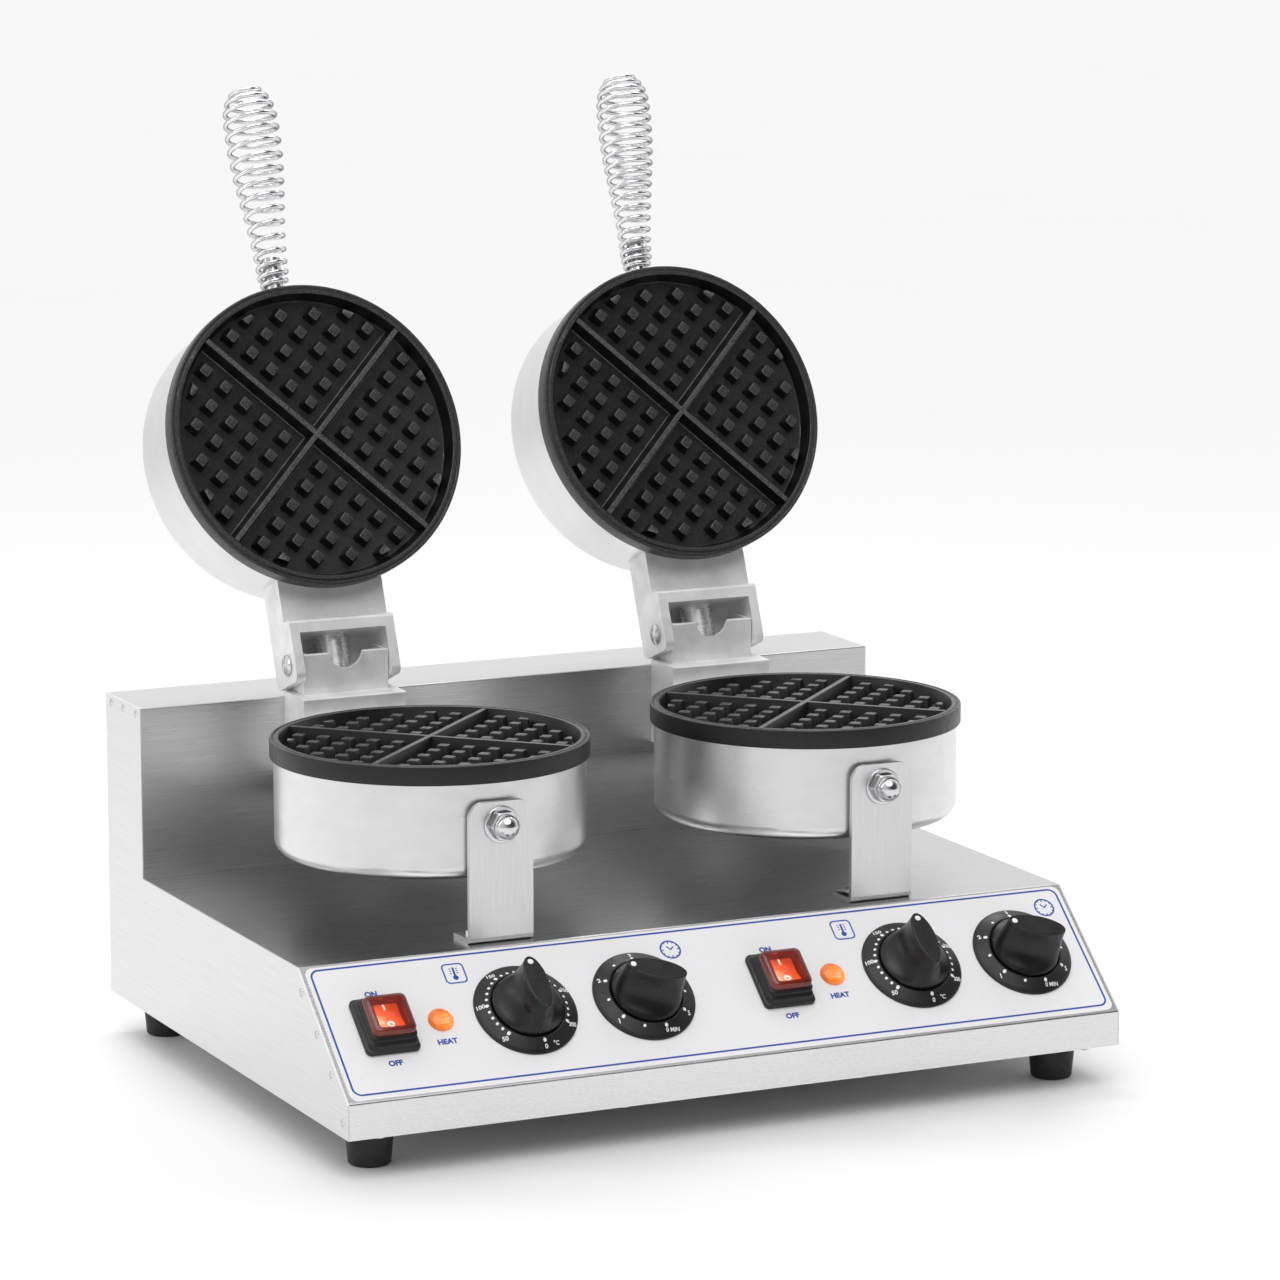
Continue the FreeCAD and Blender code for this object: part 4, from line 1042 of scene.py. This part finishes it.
def drum_materials(side):
    """Turned steel whose grain runs round each drum's own axis."""
    lower = turned_steel(side + "_lower_drum_steel", (0.74, 0.74, 0.745), 0.30, head_axis(side), (0, 0, 0))
    give(lower, side + "_lower_drum")
    place = upper_head(side)
    upper = turned_steel(side + "_upper_drum_steel", (0.68, 0.68, 0.685), 0.32, place.translation,
                         tuple(place.to_euler()))
    give(upper, side + "_upper_drum")


def strap_fasteners(side):
    """Acorn nut on a broad washer, with the stud behind, and two bolts in the strap's foot."""
    low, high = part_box(side + "_support_strap")
    x = (low.x + high.x) / 2
    nut_z = high.z - STRAP_NUT_DROP * MM
    facing_front = Matrix.Rotation(math.pi / 2, 4, "X")
    place = Matrix.Translation((x, low.y, nut_z)) @ facing_front @ Matrix.Scale(MM, 4)
    drum = (low.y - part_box(side + "_strap_fasteners")[1].y) / MM
    data = bmesh.new()
    lathe(data, rounded([(4.2, 0), (11.0, 0), (11.0, 1.6), (4.2, 1.6)], {1: 0.3, 2: 0.5}), 64)
    lathe(data, [(0, drum), (4.0, drum), (4.0, 1.0), (0, 1.0)], 32)
    lathe(data, [(4.1, -STRAP_T - 0.1), (7.0, -STRAP_T - 0.1), (7.0, drum + 6.4), (4.1, drum + 6.4)], 48)
    hexagon(data, 16.0, ((0.90, 1.6), (1.0, 2.1), (1.0, 6.6), (0.93, 7.5)))
    dome = [(7.4, 7.2), (7.2, 8.6)]
    for degrees in range(0, 90, 12):
        angle = math.radians(degrees)
        dome.append((7.0 * math.cos(angle), 8.9 + 6.2 * math.sin(angle)))
    lathe(data, [(0, 7.2)] + dome + [(0, 15.1)], 48)
    make_piece(side + "_strap_nut", data, place, bright_screw, "console",
               (side + "_strap_fasteners",), sharp=26.0)
    bolts = bmesh.new()
    for dx in (-STRAP_BOLT_DX, STRAP_BOLT_DX):
        centre = Vector((x / MM + dx, low.y / MM + 14.0, low.z / MM + STRAP_T))
        hexagon(bolts, 7.0, ((1.0, 0.0), (1.0, 2.5), (0.9, 3.0)), centre)
        loft(bolts, [[centre + p for p in circle_points(2.5, z, 24)] for z in (-11.0, 0.5)])
    make_piece(side + "_strap_foot_bolts", bolts, Matrix.Scale(MM, 4), bright_screw, "console")


def dress_cad_nodes():
    give(deck_steel, "console_shell")
    give(splash_steel, "splash_panel")
    give(side_steel, "console_side_left", "console_side_right", "rear_side_left", "rear_side_right")
    give(rear_steel, "rear_panel", "bottom_plate")
    give(bright_screw, "base_screws", "side_rivets")
    give(works_plastic, "terminal_block", "thermostats", "timers")
    give(film, "panel_overlay")
    give(foot_rubber, "rubber_feet")
    give(gland_nylon, "cable_gland")
    for side in SIDES:
        drum_materials(side)
        give(tube_chrome, side + "_wire_conduit")
        give(bright_screw, side + "_handle_stud")
        give(dull_steel, side + "_lower_heater", side + "_upper_heater")
        give(insulation, side + "_lower_insulation", side + "_upper_insulation")
        softened_copy(side + "_support_strap", "console", strap_steel, 0.35)
        strap_fasteners(side)
        softened_copy(side + "_hinge_base", "console", casting, 0.5)
        softened_copy(side + "_hinge_screws", "console", bright_screw, 0.2)
        softened_copy(side + "_lid_bracket", side + "_lid", casting, 0.5)


# ---------------------------------------------------------------- stage
FLOOR_HALF_M = 40.0


def build_floor():
    data = bmesh.new()
    bmesh.ops.create_grid(data, x_segments=24, y_segments=24, size=FLOOR_HALF_M)
    mesh = bpy.data.meshes.new("floor")
    data.to_mesh(mesh)
    data.free()
    finish = Finish("floor_paint", (0.86, 0.86, 0.86), 0.55)
    finish.shades(finish.noise(1.5, 2), 0.006)
    finish.rough(finish.noise(6, 2), 0.5, 0.6)
    mesh.materials.append(finish.material)
    add_object("floor", mesh)


def soft_light(name, place, target, size, power):
    """Rectangular soft box aimed at a target."""
    light = bpy.data.lights.new(name, "AREA")
    light.shape = "RECTANGLE"
    light.size, light.size_y = size
    light.energy = power
    lamp = add_object(name, light)
    lamp.location = place
    lamp.rotation_euler = (Vector(target) - Vector(place)).to_track_quat("-Z", "Y").to_euler()


FLAG_DIRECTION = (0.30, -0.82, 0.48)  # a dark flag in front of the baker keeps the coated plates black
LEFT_DIRECTION = (-0.95, -0.30, 0.0)  # and the studio is a little darker on the left
SUN_TRAVEL = (0.12, 0.55, -1.0)  # the way the key's light goes
SUN_SPREAD_DEG = 55  # so broad that its shadows have no edge
CAMERA_PLACE = (-1.3404, -2.9012, 0.827)
CAMERA_DROP_DEG = 10.21  # the camera looks down by this much
CAMERA_TURN_DEG = -25.54  # and this far to the right of straight back
LENS_MM = 148.96


def build_world():
    """Even white studio with a dark flag in front and a little shade on the left."""
    world = bpy.data.worlds.new("studio")
    bpy.context.scene.world = world
    world.use_nodes = True
    studio = Nodes(world.node_tree)
    direction = studio.node("ShaderNodeTexCoord").outputs["Generated"]
    to_flag = studio.dot(direction, Vector(FLAG_DIRECTION).normalized())
    to_left = studio.dot(direction, Vector(LEFT_DIRECTION).normalized())
    flag = studio.ramp(to_flag, (1.0, 1.0, 1.0), (0.06, 0.06, 0.065), 0.40, 0.86)
    left = studio.ramp(to_left, (1.0, 1.0, 1.0), (0.60, 0.60, 0.60), 0.35, 0.95)
    background = world.node_tree.nodes["Background"]
    studio.link(studio.mix(1.0, flag, left, "MULTIPLY"), background.inputs["Color"])
    background.inputs["Strength"].default_value = 1.0


def build_light():
    """Very broad key from above and in front, with two strips to draw the metal's edges."""
    sun = bpy.data.lights.new("key", "SUN")
    sun.energy = 1.5
    sun.angle = math.radians(SUN_SPREAD_DEG)
    holder = add_object("key", sun)
    holder.rotation_euler = Vector(SUN_TRAVEL).to_track_quat("-Z", "Y").to_euler()
    soft_light("left_strip", (-1.6, 0.4, 1.1), (0, 0, 0.3), (0.25, 1.4), 3)
    soft_light("top_strip", (0.3, 0.9, 1.5), (0, 0, 0.25), (1.6, 0.3), 9)


def build_camera():
    """Long lens, a little above the baker and to its left."""
    camera = bpy.data.cameras.new("camera")
    camera.sensor_width = 36.0
    camera.lens = LENS_MM
    camera.clip_end = 120.0
    holder = add_object("camera", camera)
    holder.location = CAMERA_PLACE
    holder.rotation_euler = (math.radians(90 - CAMERA_DROP_DEG), 0, math.radians(CAMERA_TURN_DEG))
    bpy.context.scene.camera = holder


build_plates()
for handle_side in SIDES:
    handle_coil(handle_side)
build_rings()
for dial_side in SIDES:
    thermostat_scale(dial_side)
    timer_scale(dial_side)
build_knobs()
build_switches()
build_lamps()
build_print()
dress_cad_nodes()
build_floor()
build_world()
build_light()
build_camera()
bpy.context.scene.view_settings.view_transform = "Standard"

bpy.context.view_layer.update()
